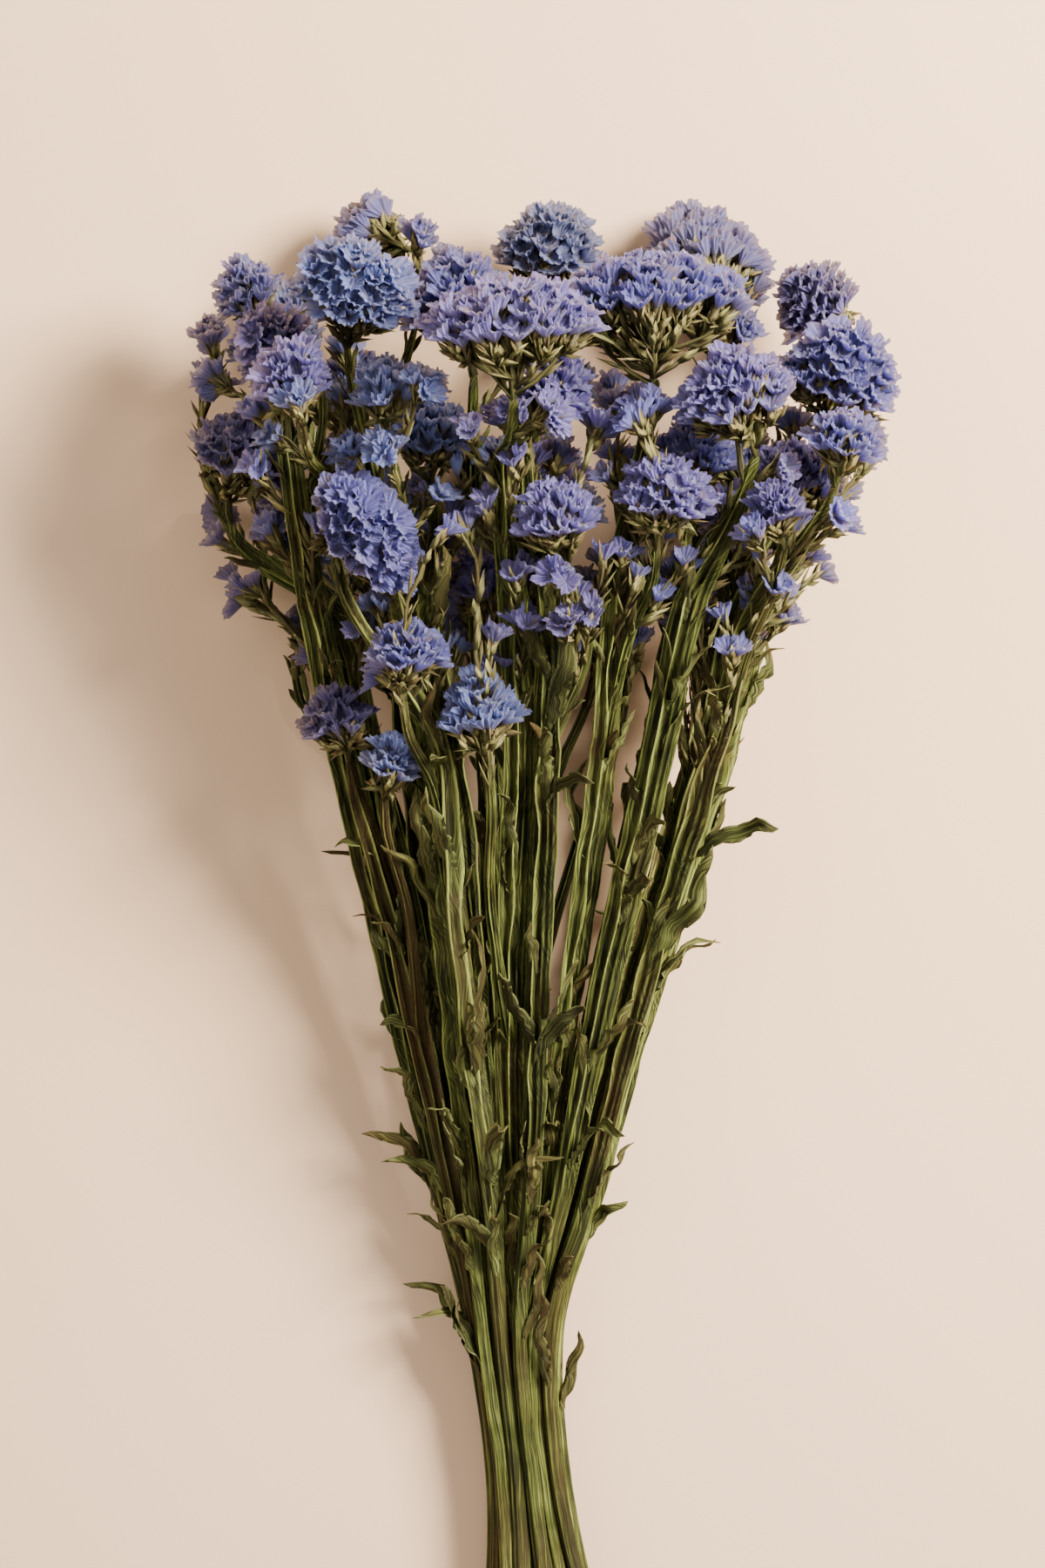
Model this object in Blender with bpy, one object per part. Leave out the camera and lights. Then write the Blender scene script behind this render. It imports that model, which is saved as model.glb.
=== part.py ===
"""A bunch of dried statice, cut and dried, lying on a flat surface.

The stems run along +Y from their cut ends to the flower heads, +X is across the bunch and +Z
is up from the surface. Twenty winged stems are gathered in a tight waist, fan out above it and
fork into branches. Each branch ends in a crown of pointed bracts that carries one blue head.
"""

import math
from collections import namedtuple

import bmesh
import bpy
import numpy as np
from mathutils import Matrix

# Lengths in the tables below are in millimetres, and MM turns them into Blender's metres
MM = 0.001
SEED = 21

# The bunch's outline: at each height above the cut ends, where its middle lies across,
# half its width and half its depth
OUTLINE_Y = (0, 45, 139, 160, 232, 304, 376, 445, 490, 620)
OUTLINE_MIDDLE = (2, -2, -12, -9, -11, -8, 0, -5, -2, 0)
OUTLINE_HALF_WIDTH = (20, 17, 14, 19, 35, 54, 76, 95, 116, 135)
OUTLINE_HALF_DEPTH = (15, 14, 14, 16, 22, 31, 43, 54, 62, 68)

# Heights at which a stem may bend
LEVELS = (0, 70, 139, 196, 258, 320, 382, 444, 504)
LEVEL_MARGIN = 39
CUT_UNEVENNESS = 5.0

# The waist is the stretch of stems that is drawn together
WAIST = (60, 160)

# Half the span of a stem's wings at each height, and of a branch's at its two ends
STEM_REACH_Y = (0, 139, 240, 340, 440, 560)
STEM_REACH = (3.3, 2.9, 4.9, 6.2, 5.8, 3.0)

# A stem is round where it was cut, and its wings are full from the second height up
WINGS_Y = (150, 250)
BRANCH_REACH = 2.3
NECK_REACH = 1.5
NECK_LENGTH = 11.0
BRANCH_SUNK = 1.0

# Pieces of two sprays keep this much between them, and a head this much from its crown
CLEARANCE = 0.2
HEAD_SEAT = 0.3

# How freely a point may be pushed across, along and up from the surface
BEND_GIVE = (1, 0, 1)
BRANCH_GIVE = (0.8, 0.2, 0.8)
HEAD_GIVE = (0.28, 0.2, 1.0)

# Each push is made this much longer than the overlap, and a stem gives way to a head by this
# share of it
PUSH = 1.3
STEM_YIELDS = 0.75

# The least height of a bend over the surface, and of a head as a part of its own size
BEND_LEAST = 1.0
HEAD_LEAST = 0.82

# A branch leaves its stem at least this far below its head
FORK_DROP = 34.0
FORK_STEEPNESS = 1.25

# A floret's neck and the bottom of its cup, as parts of its rim's distance from the middle,
# how wide a floret is, the height from which a comb has two rows of florets on its sides, and
# how low its dome of florets starts, as a part of its height
NECK = 0.42
CUP = 0.66
FLORET_SPAN = 15.5
TWO_ROWS = 31
EQUATOR = -0.06

# How full a comb is drawn along and up from its middle, and its half thickness: a base, a
# part of its longer half size, and the most that it may be, as a part of its half length
HEAD_LENGTH = 1.44
HEAD_HEIGHT = 1.2
HEAD_DEPTH = (4.0, 0.46)
HEAD_DEPTH_MOST = 0.95
HEAD_HALF_LEAST = 9

# How far a head's middle lies under the middle of its blue outline, as a part of its height
HEAD_SINK = 0.45

# A head that is this much taller than its half length is a spike and not a comb
SPIKE = 1.25

# The crown of bracts under a head, as parts of the head's half sizes, then its stalk's half
# width and how far apart its bracts stand
CROWN_REACH = 0.74
CROWN_GROOVE_REACH = 0.40
CROWN_GROOVE_DROP = 0.52
CROWN_BOTTOM = 0.95
CROWN_STALK = 2.1
BRACT_SPAN = 34.0

# How high a comb's capsule lies in it and how low a spike's starts, as parts of the head's
# height, and the radius of a crown's capsule as a part of the head's smaller half size
CAPSULE_LIFT = 0.35
SPIKE_START = 0.3
CROWN_CAPSULE = 0.6

# A blade's thickness, how deep it is folded as a part of its half width, and the angle at
# which it leaves its stem
LEAF_THICKNESS = 1.1
LEAF_FOLD = 0.22
LEAF_SPREAD = 28

# How a join is tried until it gives a closed surface: the solver, the length in metres under
# which edges are merged, and whether edges between level faces go
JOIN_TRIES = (
    ("MANIFOLD", 5e-6, True),
    ("MANIFOLD", 2e-6, True),
    ("MANIFOLD", 2e-5, True),
    ("EXACT", 5e-6, True),
    ("MANIFOLD", 5e-6, False),
    ("MANIFOLD", 2e-6, False),
    ("EXACT", 2e-6, False),
)

# A head: where its blue middle lies (across, above the cut ends, in front of the bunch's
# middle plane), the length of its comb, its height, how far the comb slants and how far its
# florets face the front, in degrees, and its shade
Head = namedtuple("Head", "x y z length height slant nod shade")

# Each stem's heads, the one at its tip first
SPRAYS = (
    (Head(-124, 572, 0, 24, 22, 30, 10, "mid"), Head(-113, 550, 16, 27, 27, 55, 30, "deep")),
    (Head(-109, 513, -8, 38, 27, -25, 25, "deep"), Head(-101, 480, -22, 32, 22, -45, 25, "mid")),
    (Head(-99, 580, -46, 25, 19, 0, -10, "pale"), Head(-83, 446, -42, 27, 21, -35, 20, "deep")),
    (Head(-77, 594, -28, 32, 24, 75, -35, "mid"), Head(-79, 543, -14, 25, 19, 0, 0, "mid")),
    (
        Head(-72, 563, 46, 43, 32, -10, 45, "pale"),
        Head(-72, 524, 52, 23, 20, 5, 15, "pale"),
        Head(-99, 553, 34, 25, 24, 10, 20, "lilac"),
    ),
    (Head(-63, 474, 54, 48, 24, -58, 55, "mid"), Head(-54, 432, 50, 28, 19, -5, 10, "mid")),
    (Head(-50, 522, 32, 31, 22, 0, 15, "pale"), Head(-27, 459, 15, 24, 20, 10, 15, "deep")),
    (Head(-81, 398, 18, 25, 19, 15, 15, "deep"), Head(-59, 389, 36, 19, 16, -10, 20, "pale")),
    (Head(-29, 578, -4, 40, 30, 10, 10, "mid"),),
    (Head(-14, 562, 44, 58, 24, 3, 10, "lilac"), Head(-28, 407, 46, 27, 24, 8, 5, "pale")),
    (Head(-2, 592, -20, 36, 28, -5, 30, "pale"), Head(22, 448, -44, 34, 25, 0, 0, "deep")),
    (Head(0, 499, -50, 44, 34, -25, 0, "deep"), Head(33, 434, 5, 22, 18, 10, 10, "mid")),
    (Head(11, 540, 48, 24, 23, -30, 20, "deep"), Head(25, 490, 46, 28, 22, 15, 15, "lilac")),
    (Head(52, 555, 38, 68, 28, 3, 0, "mid"), Head(45, 497, 40, 33, 23, -10, 20, "lilac")),
    (Head(83, 588, -34, 46, 48, 5, -35, "mid"),),
    (Head(81, 531, 48, 40, 28, 20, 25, "lilac"), Head(63, 508, 26, 27, 22, -10, 10, "mid")),
    (Head(109, 571, -14, 29, 25, 45, 20, "deep"), Head(92, 553, 14, 23, 19, 0, 20, "deep")),
    (Head(111, 542, 24, 40, 29, -20, 30, "mid"), Head(108, 502, 22, 32, 19, -15, 15, "deep")),
    (Head(128, 520, -4, 22, 20, -35, 10, "mid"), Head(81, 470, -48, 27, 21, -20, 0, "pale")),
    (Head(114, 517, 46, 26, 18, -10, 20, "mid"), Head(97, 486, 46, 20, 17, 10, 20, "deep")),
)

# A dried leaf: where it leaves its stem (across, above the cut ends), its length, the side of
# the stem that it grows on (0 right, 90 front, 180 left) and how far it curls, in degrees
Leaf = namedtuple("Leaf", "x y length side curl")
LEAVES = (
    Leaf(-60, 292, 20, 165, 20),
    Leaf(-58, 262, 18, 175, 110),
    Leaf(-68, 338, 18, 170, 90),
    Leaf(-56, 300, 30, 60, 25),
    Leaf(-20, 330, 46, 110, 45),
    Leaf(8, 356, 30, 45, 40),
    Leaf(-4, 256, 40, 140, 30),
    Leaf(2, 258, 42, 40, 40),
    Leaf(38, 318, 26, 60, 110),
    Leaf(66, 330, 54, 30, 115),
    Leaf(74, 356, 20, 10, 60),
    Leaf(24, 246, 44, 60, 60),
    Leaf(27, 250, 40, 10, 60),
    Leaf(14, 204, 46, 20, 50),
    Leaf(-12, 168, 30, 100, 40),
    Leaf(-2, 176, 26, 60, 60),
    Leaf(5, 410, 30, 120, 30),
    Leaf(-24, 170, 28, 170, 50),
    Leaf(-45, 366, 28, 60, 35),
    Leaf(30, 372, 32, 50, 35),
    Leaf(-27, 243, 64, 70, 12),
    Leaf(6, 386, 58, 70, 10),
    Leaf(-46, 322, 58, 110, 10),
    Leaf(45, 292, 58, 60, 10),
    Leaf(18, 425, 48, 80, 12),
    Leaf(-30, 425, 46, 100, 12),
    Leaf(62, 398, 50, 60, 12),
    Leaf(-15, 196, 50, 80, 15),
)

# How far from that side a leaf may be turned round its stem to be clear of other stems, and
# the parts of its length that are tried
LEAF_TURNS = (0, 20, -20, 40, -40, 65, -65, 95, -95, 130, -130)
LEAF_SIZES = (1.1, 0.85, 0.65)

# Leaves under the bunch: one on every other stem, at these heights
UNDER_LEAF_Y = (190, 250, 300, 345, 390)
UNDER_LEAF_LENGTH = 36
UNDER_LEAF_CURL = 40

SHADES = {
    "mid": (0.16, 0.17, 0.48),
    "pale": (0.30, 0.37, 0.62),
    "lilac": (0.32, 0.30, 0.60),
    "deep": (0.09, 0.07, 0.33),
}
STEM_GREEN = (0.16, 0.19, 0.06)


def unit(v):
    """The vector or rows of vectors at length 1."""
    v = np.asarray(v, float)
    return v / np.maximum(np.linalg.norm(v, axis=-1, keepdims=True), 1e-9)


def outline_at(y):
    """The bunch's middle across, half width and half depth at a height."""
    return tuple(
        float(np.interp(y, OUTLINE_Y, row))
        for row in (OUTLINE_MIDDLE, OUTLINE_HALF_WIDTH, OUTLINE_HALF_DEPTH)
    )


def stem_reach(y):
    """Half the span of a stem's wings at a height."""
    return float(np.interp(y, STEM_REACH_Y, STEM_REACH))


def head_axes(head):
    """Unit vectors along the comb, across it and out through its florets."""
    slant, nod = math.radians(head.slant), math.radians(head.nod)
    along = np.array([math.cos(slant), math.sin(slant), 0])
    up = np.array([-math.sin(slant), math.cos(slant), 0])
    out = math.cos(nod) * up + math.sin(nod) * np.array([0, 0, 1])
    return along, np.cross(out, along), out


def head_halves(head):
    """Half the head's length, half its thickness and its height over its middle."""
    rise = HEAD_HEIGHT * head.height / (1 - EQUATOR)
    long = HEAD_LENGTH * head.length / 2
    most = HEAD_DEPTH_MOST * max(long, HEAD_HALF_LEAST)
    thick = min(HEAD_DEPTH[0] + HEAD_DEPTH[1] * max(long, rise), most)
    return long, thick, rise


def crown_drop(head):
    """How far the crown's own sizes reach under a head's middle."""
    _, thick, rise = head_halves(head)
    return min(rise, 1.15 * thick)


class Layout:
    """Places the stems' bends and the heads so that no two sprays cross.

    Every stretch of stem and every head is a capsule, a line with a radius. Two capsules of
    different sprays that come too close push each other apart, over and over, while each
    stem is kept smooth and near its own line in the fan.
    """

    ROUNDS = 420
    SETTLE = 140
    NEAR = 26.0
    HOLD = 0.003

    def __init__(self):
        self.points, self.give, self.home = [], [], []
        self.ends, self.shifts, self.radius = [], [], []
        self.spray, self.head_no, self.is_head, self.smooth = [], [], [], []
        self.stems, self.heads = [], []
        for number, heads in enumerate(SPRAYS):
            self.add_spray(number, heads)

    def add_point(self, place, give):
        """A point that may move, and how freely it does along each axis."""
        self.points.append(place)
        self.give.append(give)
        return len(self.points) - 1

    def add_capsule(self, ends, shifts, radius, spray, head_no, is_head=False):
        """A capsule between two points, each with a fixed shift from it."""
        self.ends.append(ends)
        self.shifts.append(shifts)
        self.radius.append(radius)
        self.spray.append(spray)
        self.head_no.append(head_no)
        self.is_head.append(is_head)

    def add_head(self, head, spray):
        """The capsules of the head and of its crown, and where its branch ends."""
        _, _, depth = outline_at(head.y)
        along, _, out = head_axes(head)
        long, thick, rise = head_halves(head)
        middle = np.array([head.x, head.y, head.z + depth]) - HEAD_SINK * rise * out
        point = self.add_point(middle, HEAD_GIVE)
        number = len(self.heads)
        if rise > SPIKE * long:
            radius = max(long, thick)
            ends = (SPIKE_START * rise * out, (rise - radius) * out)
        else:
            lift = CAPSULE_LIFT * rise
            radius = max(math.hypot(thick, lift), rise - lift)
            half = max(long - math.sqrt(radius**2 - lift**2), 0.3)
            ends = (lift * out - half * along, lift * out + half * along)
        self.add_capsule((point, point), ends, radius, spray, number, is_head=True)
        girth = CROWN_CAPSULE * min(long, thick)
        ends = (EQUATOR * rise * out, -(CROWN_BOTTOM * crown_drop(head) - girth) * out)
        self.add_capsule((point, point), ends, girth, spray, number, is_head=True)
        seat = -(CROWN_BOTTOM * crown_drop(head) - BRANCH_SUNK) * out
        self.heads.append({"head": head, "point": point, "seat": seat, "spray": spray})
        return number

    def add_run(self, points, head_no, spray, is_stem):
        """Stem or branch stretches through points and on into the head."""
        head = self.heads[head_no]
        _, _, out = head_axes(head["head"])
        root = np.array(self.points[points[-1]])
        seat = self.points[head["point"]] + head["seat"]
        neck = head["seat"] - NECK_LENGTH * unit(0.4 * out + 0.95 * unit(seat - root))
        stops = [(p, np.zeros(3)) for p in points]
        stops += [(head["point"], neck), (head["point"], head["seat"])]
        if is_stem:
            reach = [stem_reach(self.points[p][1]) for p in points] + [NECK_REACH] * 2
        else:
            reach = np.linspace(BRANCH_REACH, NECK_REACH, len(stops))
        for k in range(len(stops) - 1):
            (a, shift_a), (b, shift_b) = stops[k], stops[k + 1]
            own = head_no if k >= len(stops) - 3 else -1
            thickest = max(reach[k], reach[k + 1])
            self.add_capsule((a, b), (shift_a, shift_b), thickest, spray, own)
        return stops

    def add_spray(self, spray, heads):
        """A stem up through the fan to its first head, and a branch to each other head."""
        first = heads[0]
        middle, width, depth = outline_at(first.y)
        across, forward = (first.x - middle) / width, first.z / depth
        numbers = [self.add_head(head, spray) for head in heads]
        seat_y = self.points[self.heads[numbers[0]]["point"]][1]
        levels = [y for y in LEVELS if y < seat_y - LEVEL_MARGIN]
        bends = []
        for y in levels:
            middle, width, depth = outline_at(y)
            if y == 0:
                y = CUT_UNEVENNESS * (1 + math.sin(2.4 * spray))
            place = (middle + across * width, y, depth + forward * depth)
            bends.append(self.add_point(place, BEND_GIVE))
        for k in range(1, len(bends) - 1):
            self.smooth.append((bends[k - 1], bends[k], bends[k + 1]))
        stops = self.add_run(bends, numbers[0], spray, True)
        runs = [(stops, None, numbers[0])]
        for number in numbers[1:]:
            target = self.points[self.heads[number]["point"]]
            fork = self.fork_for(bends, target)
            base = np.array(self.points[bends[fork]])
            mid = base + 0.5 * (target - base) + np.array([0.06 * (target - base)[0], 0, 3])
            mid_point = self.add_point(mid, BRANCH_GIVE)
            stops = self.add_run([bends[fork], mid_point], number, spray, False)
            runs.append((stops, fork, number))
        self.stems.append(runs)

    def fork_for(self, bends, target):
        """The bend that a branch leaves from, far enough below its head to rise steeply."""
        for k in reversed(range(3, len(bends))):
            gap = target - np.array(self.points[bends[k]])
            if gap[1] > FORK_DROP + FORK_STEEPNESS * math.hypot(gap[0], gap[2]):
                return k
        return 4

    def capsule_ends(self, chosen=None):
        """Both ends of the chosen capsules, or of all."""
        pick = slice(None) if chosen is None else chosen
        ends, shifts = self.ends[pick], self.shifts[pick]
        return (
            self.points[ends[:, 0]] + shifts[:, 0],
            self.points[ends[:, 1]] + shifts[:, 1],
        )

    def freeze(self):
        """Turns the lists into arrays, and lists the pairs that must stay clear."""
        for name in (
            "points", "give", "ends", "shifts", "radius", "spray", "head_no", "is_head"
        ):
            setattr(self, name, np.array(getattr(self, name)))
        self.home = self.points.copy()
        a, b = np.triu_indices(len(self.ends), 1)
        same = self.spray[a] == self.spray[b]
        both_green = ~self.is_head[a] & ~self.is_head[b]
        own = (self.head_no[a] == self.head_no[b]) & (self.head_no[a] >= 0)
        keep = ~(same & both_green) & ~own
        self.pairs = np.stack([a[keep], b[keep]], axis=1)

    def separate(self, pairs):
        """Pushes the capsules of each pair that are too close apart, and returns the worst."""
        a, b = pairs[:, 0], pairs[:, 1]
        p1, q1 = self.capsule_ends(a)
        p2, q2 = self.capsule_ends(b)
        s, t = closest(p1, q1, p2, q2)
        apart = (p1 + s[:, None] * (q1 - p1)) - (p2 + t[:, None] * (q2 - p2))
        gap = np.linalg.norm(apart, axis=1)
        short = self.radius[a] + self.radius[b] + CLEARANCE - gap
        hit = short > 0
        if not hit.any():
            return 0.0
        a, b, s, t = a[hit], b[hit], s[hit], t[hit]
        push = apart[hit] / np.maximum(gap[hit], 1e-3)[:, None] * short[hit, None]
        weight = np.where(self.is_head[a] & ~self.is_head[b], 1 - STEM_YIELDS, 0.5)
        weight = np.where(self.is_head[b] & ~self.is_head[a], STEM_YIELDS, weight)[:, None]
        move, count = np.zeros_like(self.points), np.zeros(len(self.points))
        for ends, along, share in ((a, s, weight), (b, t, weight - 1)):
            for side, part in ((0, 1 - along), (1, along)):
                nodes = self.ends[ends, side]
                np.add.at(move, nodes, push * share * part[:, None])
                np.add.at(count, nodes, part > 0.02)
        self.points += PUSH * self.give * move / np.sqrt(np.maximum(count, 1))[:, None]
        return float(short.max())

    def settle_on_surface(self):
        """Keeps every bend and head over the surface that the bunch lies on."""
        least = np.full(len(self.points), BEND_LEAST)
        for head in self.heads:
            _, thick, rise = head_halves(head["head"])
            least[head["point"]] = HEAD_LEAST * min(thick, rise)
        self.points[:, 2] = np.maximum(self.points[:, 2], least)

    def near_pairs(self):
        """The pairs whose capsules are near enough to meet in the next rounds."""
        start, end = self.capsule_ends()
        middle = (start + end) / 2
        reach = np.linalg.norm(end - start, axis=1) / 2 + self.radius
        a, b = self.pairs[:, 0], self.pairs[:, 1]
        gap = np.linalg.norm(middle[a] - middle[b], axis=1) - reach[a] - reach[b]
        return self.pairs[gap < self.NEAR]

    def solve(self):
        """Runs the rounds and returns how far the worst pair still overlaps."""
        self.freeze()
        smooth = np.array(self.smooth)
        waist = (self.points[:, 1] > WAIST[0]) & (self.points[:, 1] < WAIST[1])
        middle, _, depth = np.array([outline_at(y) for y in self.points[:, 1]]).T
        heart = np.stack([middle, self.points[:, 1], depth], axis=1)
        worst = 0.0
        for step in range(self.ROUNDS + self.SETTLE):
            if step % 10 == 0:
                near = self.near_pairs()
            worst = self.separate(near)
            self.points[waist] += self.HOLD * (heart - self.points)[waist]
            if step < self.ROUNDS:
                ease = 0.25 * (1 - step / self.ROUNDS)
                mean = (self.points[smooth[:, 0]] + self.points[smooth[:, 2]]) / 2
                self.points[smooth[:, 1]] += (
                    ease * self.give[smooth[:, 1]] * (mean - self.points[smooth[:, 1]])
                )
                self.points += 0.25 * ease * self.give * (self.home - self.points)
                self.points[waist] += 0.03 * (heart - self.points)[waist]
            self.settle_on_surface()
        return worst


def closest(p1, q1, p2, q2):
    """How far along each of two lines, from 0 to 1, the points nearest each other lie."""
    d1, d2, r = q1 - p1, q2 - p2, p1 - p2
    a, e = (d1 * d1).sum(1), (d2 * d2).sum(1)
    f, c, b = (d2 * r).sum(1), (d1 * r).sum(1), (d1 * d2).sum(1)
    spread = a * e - b * b
    s = np.where(spread > 1e-9 * a * e, (b * f - c * e) / np.maximum(spread, 1e-9), 0.5)
    s = np.clip(s, 0, 1)
    t = np.clip((b * s + f) / np.maximum(e, 1e-9), 0, 1)
    s = np.clip((b * t - c) / np.maximum(a, 1e-9), 0, 1)
    return s, t


def path_frames(path, reference):
    """At each point of a path: unit vectors along it, across it and square to both."""
    along = unit(np.gradient(path, axis=0))
    side = unit(reference - (along @ reference)[:, None] * along)
    return along, side, np.cross(along, side)


def swept(path, rings, reference, tip=None):
    """A closed tube: one ring of (side, front) offsets at each point of the path.

    With tip, the last ring is closed to that point, otherwise to its own middle.
    """
    _, side, front = path_frames(path, np.asarray(reference, float))
    count = len(rings[0])
    verts = [
        centre + offset[0] * s + offset[1] * f
        for centre, s, f, ring in zip(path, side, front, rings)
        for offset in ring
    ]
    faces = []
    for k in range(len(path) - 1):
        for j in range(count):
            n = (j + 1) % count
            low, high = k * count, (k + 1) * count
            faces.append((low + j, low + n, high + n, high + j))
    verts += [path[0], path[-1] if tip is None else tip]
    last = (len(path) - 1) * count
    for j in range(count):
        n = (j + 1) % count
        faces.append((n, j, len(verts) - 2))
        faces.append((last + j, last + n, len(verts) - 1))
    return verts, faces


def winged_ring(reach, turn, winged):
    """A stem's cut shape, from round to two thin wings with a ridge on each face."""
    angles = np.arange(6) * math.pi / 3
    full = np.stack([np.cos(angles), np.sin(angles)], axis=1)
    wings = np.array(
        [(1, 0), (0.2, 0.5), (-0.35, 0.22), (-1, 0), (-0.2, -0.5), (0.35, -0.22)]
    )
    shape = full + winged * (wings - full)
    c, s = math.cos(turn), math.sin(turn)
    return reach * shape @ np.array([[c, s], [-s, c]])


def round_ring(reach, turn):
    """A branch's cut shape, with four edges."""
    angles = turn + np.arange(4) * math.pi / 2
    return reach * np.stack([np.cos(angles), 0.7 * np.sin(angles)], axis=1)


def head_directions(across, deep, tiers):
    """The corners of the florets' bases, as rows of a grid wrapped over a dome.

    A box of across by deep cells, open below, is blown up to a dome: its top and its four
    sides, tiers cells high, are cells, and the sides reach a little under the dome's middle.
    """
    xs, ys = np.linspace(-1, 1, across + 1), np.linspace(-1, 1, deep + 1)
    corners, cells, index = [], [], {}

    def corner(x, y, z):
        key = (round(x, 4), round(y, 4), round(z, 4))
        if key not in index:
            index[key] = len(corners)
            corners.append(unit((math.tan(x * 0.82), math.tan(y * 0.82), z)))
        return index[key]

    for i in range(across):
        for j in range(deep):
            cells.append([corner(xs[i], ys[j], 1), corner(xs[i + 1], ys[j], 1),
                          corner(xs[i + 1], ys[j + 1], 1), corner(xs[i], ys[j + 1], 1)])
    rim = [(x, -1) for x in xs[:-1]] + [(1, y) for y in ys[:-1]]
    rim += [(x, 1) for x in xs[:0:-1]] + [(-1, y) for y in ys[:0:-1]]
    heights = np.linspace(EQUATOR, 1, tiers + 1)
    for k, (x, y) in enumerate(rim):
        nx, ny = rim[(k + 1) % len(rim)]
        for low, high in zip(heights, heights[1:]):
            cells.append([corner(x, y, low), corner(nx, ny, low),
                          corner(nx, ny, high), corner(x, y, high)])
    loop = [corner(x, y, EQUATOR) for x, y in rim]
    return np.array(corners), cells, loop


def flower_head(head, middle, rng):
    """A dense comb of funnel florets on a small core, with a plain underside.

    Each cell of the core's dome is drawn out into a funnel: its five-pointed rim stands away
    from its neighbours' rims, and the middle of its mouth is sunk.
    """
    long, thick, rise = head_halves(head)
    girth = math.pi * (long + thick)
    deep = 2
    across = max(2, round((girth / FLORET_SPAN - 2 * deep) / 2))
    tiers = 2 if rise > TWO_ROWS else 1
    directions, cells, loop = head_directions(across, deep, tiers)
    verts, faces = [NECK * d for d in directions], []
    for cell in cells:
        corners = directions[cell]
        centre = unit(corners.sum(axis=0))
        height = rng.uniform(0.84, 1.0)
        split = rng.integers(4)
        rim, walls = [], []
        for k in range(4):
            spots = [corners[k]]
            if k == split:
                spots.append(unit(corners[k] + corners[(k + 1) % 4]))
            ring = []
            for spot in spots:
                inner = unit(centre + rng.uniform(0.80, 0.90) * (spot - centre))
                ring.append(len(verts))
                verts.append(inner * height * rng.uniform(0.93, 1.0))
            rim += ring
            walls.append(ring)
        for k in range(4):
            ring, after = walls[k], walls[(k + 1) % 4][0]
            low, low_next = cell[k], cell[(k + 1) % 4]
            if len(ring) == 2:
                faces += [(low, ring[1], ring[0]), (low, low_next, ring[1]),
                          (low_next, after, ring[1])]
            else:
                faces += [(low, low_next, after), (low, after, ring[0])]
        bottom = len(verts)
        verts.append(centre * height * CUP)
        faces += [(rim[k], rim[(k + 1) % len(rim)], bottom) for k in range(len(rim))]
    floor = len(verts)
    verts.append(np.array([0, 0, EQUATOR * NECK]))
    faces += [(loop[(k + 1) % len(loop)], loop[k], floor) for k in range(len(loop))]
    axes = np.stack(head_axes(head))
    scale = np.array([long, thick, rise])
    return [middle + (v * scale) @ axes for v in verts], faces


def crown(head, middle):
    """The pointed bracts under a head, spreading from the end of its branch."""
    long, thick, rise = head_halves(head)
    drop = crown_drop(head)
    seat = EQUATOR * NECK * rise - HEAD_SEAT
    tip = EQUATOR * rise - HEAD_SEAT - 0.2
    bracts = max(6, 2 * round(math.pi * (long + thick) / BRACT_SPAN))
    verts, faces = [], []
    for k in range(bracts):
        angle = 2 * math.pi * k / bracts
        between = angle + math.pi / bracts
        c, s = math.cos(angle), math.sin(angle)
        verts.append((CROWN_STALK * c, CROWN_STALK * s, -CROWN_BOTTOM * drop))
        verts.append((CROWN_REACH * long * c, CROWN_REACH * thick * s, tip))
        c, s = math.cos(between), math.sin(between)
        reach = CROWN_GROOVE_REACH
        verts.append((reach * long * c, reach * thick * s, -CROWN_GROOVE_DROP * drop))
    verts += [(0, 0, seat), (0, 0, -CROWN_BOTTOM * drop)]
    top, bottom = len(verts) - 2, len(verts) - 1
    for k in range(bracts):
        low, point, groove = 3 * k, 3 * k + 1, 3 * k + 2
        low_next = 3 * ((k + 1) % bracts)
        point_next = low_next + 1
        faces += [
            (low, low_next, groove),
            (low, groove, point),
            (low_next, point_next, groove),
            (point, groove, top),
            (groove, point_next, top),
            (low_next, low, bottom),
        ]
    axes = np.stack(head_axes(head))
    return [middle + np.array(v) @ axes for v in verts], faces


def leaf_path(base, tangent, outward, length, curl, steps=5):
    """A leaf's midrib: it leaves along the stem, leans outward and curls over."""
    turn = np.radians(LEAF_SPREAD + curl * np.linspace(0, 1, steps) ** 1.5)
    heading = np.cos(turn)[:, None] * tangent + np.sin(turn)[:, None] * outward
    places = np.cumsum(heading[:-1] * length / (steps - 1), axis=0)
    return np.vstack([base, base + places])


def leaf(path, width, tangent, outward):
    """A folded lance-shaped blade along its midrib, ending in a point."""
    spread = np.cross(tangent, outward)
    shares = np.array([0.55, 0.9, 1.0, 0.75, 0.35])[: len(path)]
    rings = []
    for share in shares[: len(path) - 1]:
        half = width / 2 * share
        fold = LEAF_FOLD * half
        rings.append([(half, fold), (0, LEAF_THICKNESS / 2), (-half, fold),
                      (0, -LEAF_THICKNESS / 2)])
    return swept(path[:-1], rings, spread, tip=path[-1])


def make_material(name, colour, roughness):
    """A plain Principled material."""
    material = bpy.data.materials.new(name)
    material.use_nodes = True
    shader = material.node_tree.nodes["Principled BSDF"]
    shader.inputs["Base Color"].default_value = (*colour, 1)
    shader.inputs["Roughness"].default_value = roughness
    return material


def make_object(name, verts, faces):
    """An object of triangles that all face outward."""
    mesh = bpy.data.meshes.new(name)
    places = [tuple(MM * np.asarray(v)) for v in verts]
    mesh.from_pydata(places, [], faces)
    work = bmesh.new()
    work.from_mesh(mesh)
    bmesh.ops.triangulate(work, faces=work.faces)
    bmesh.ops.recalc_face_normals(work, faces=work.faces)
    work.to_mesh(mesh)
    work.free()
    thing = bpy.data.objects.new(name, mesh)
    bpy.context.scene.collection.objects.link(thing)
    return thing


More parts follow.
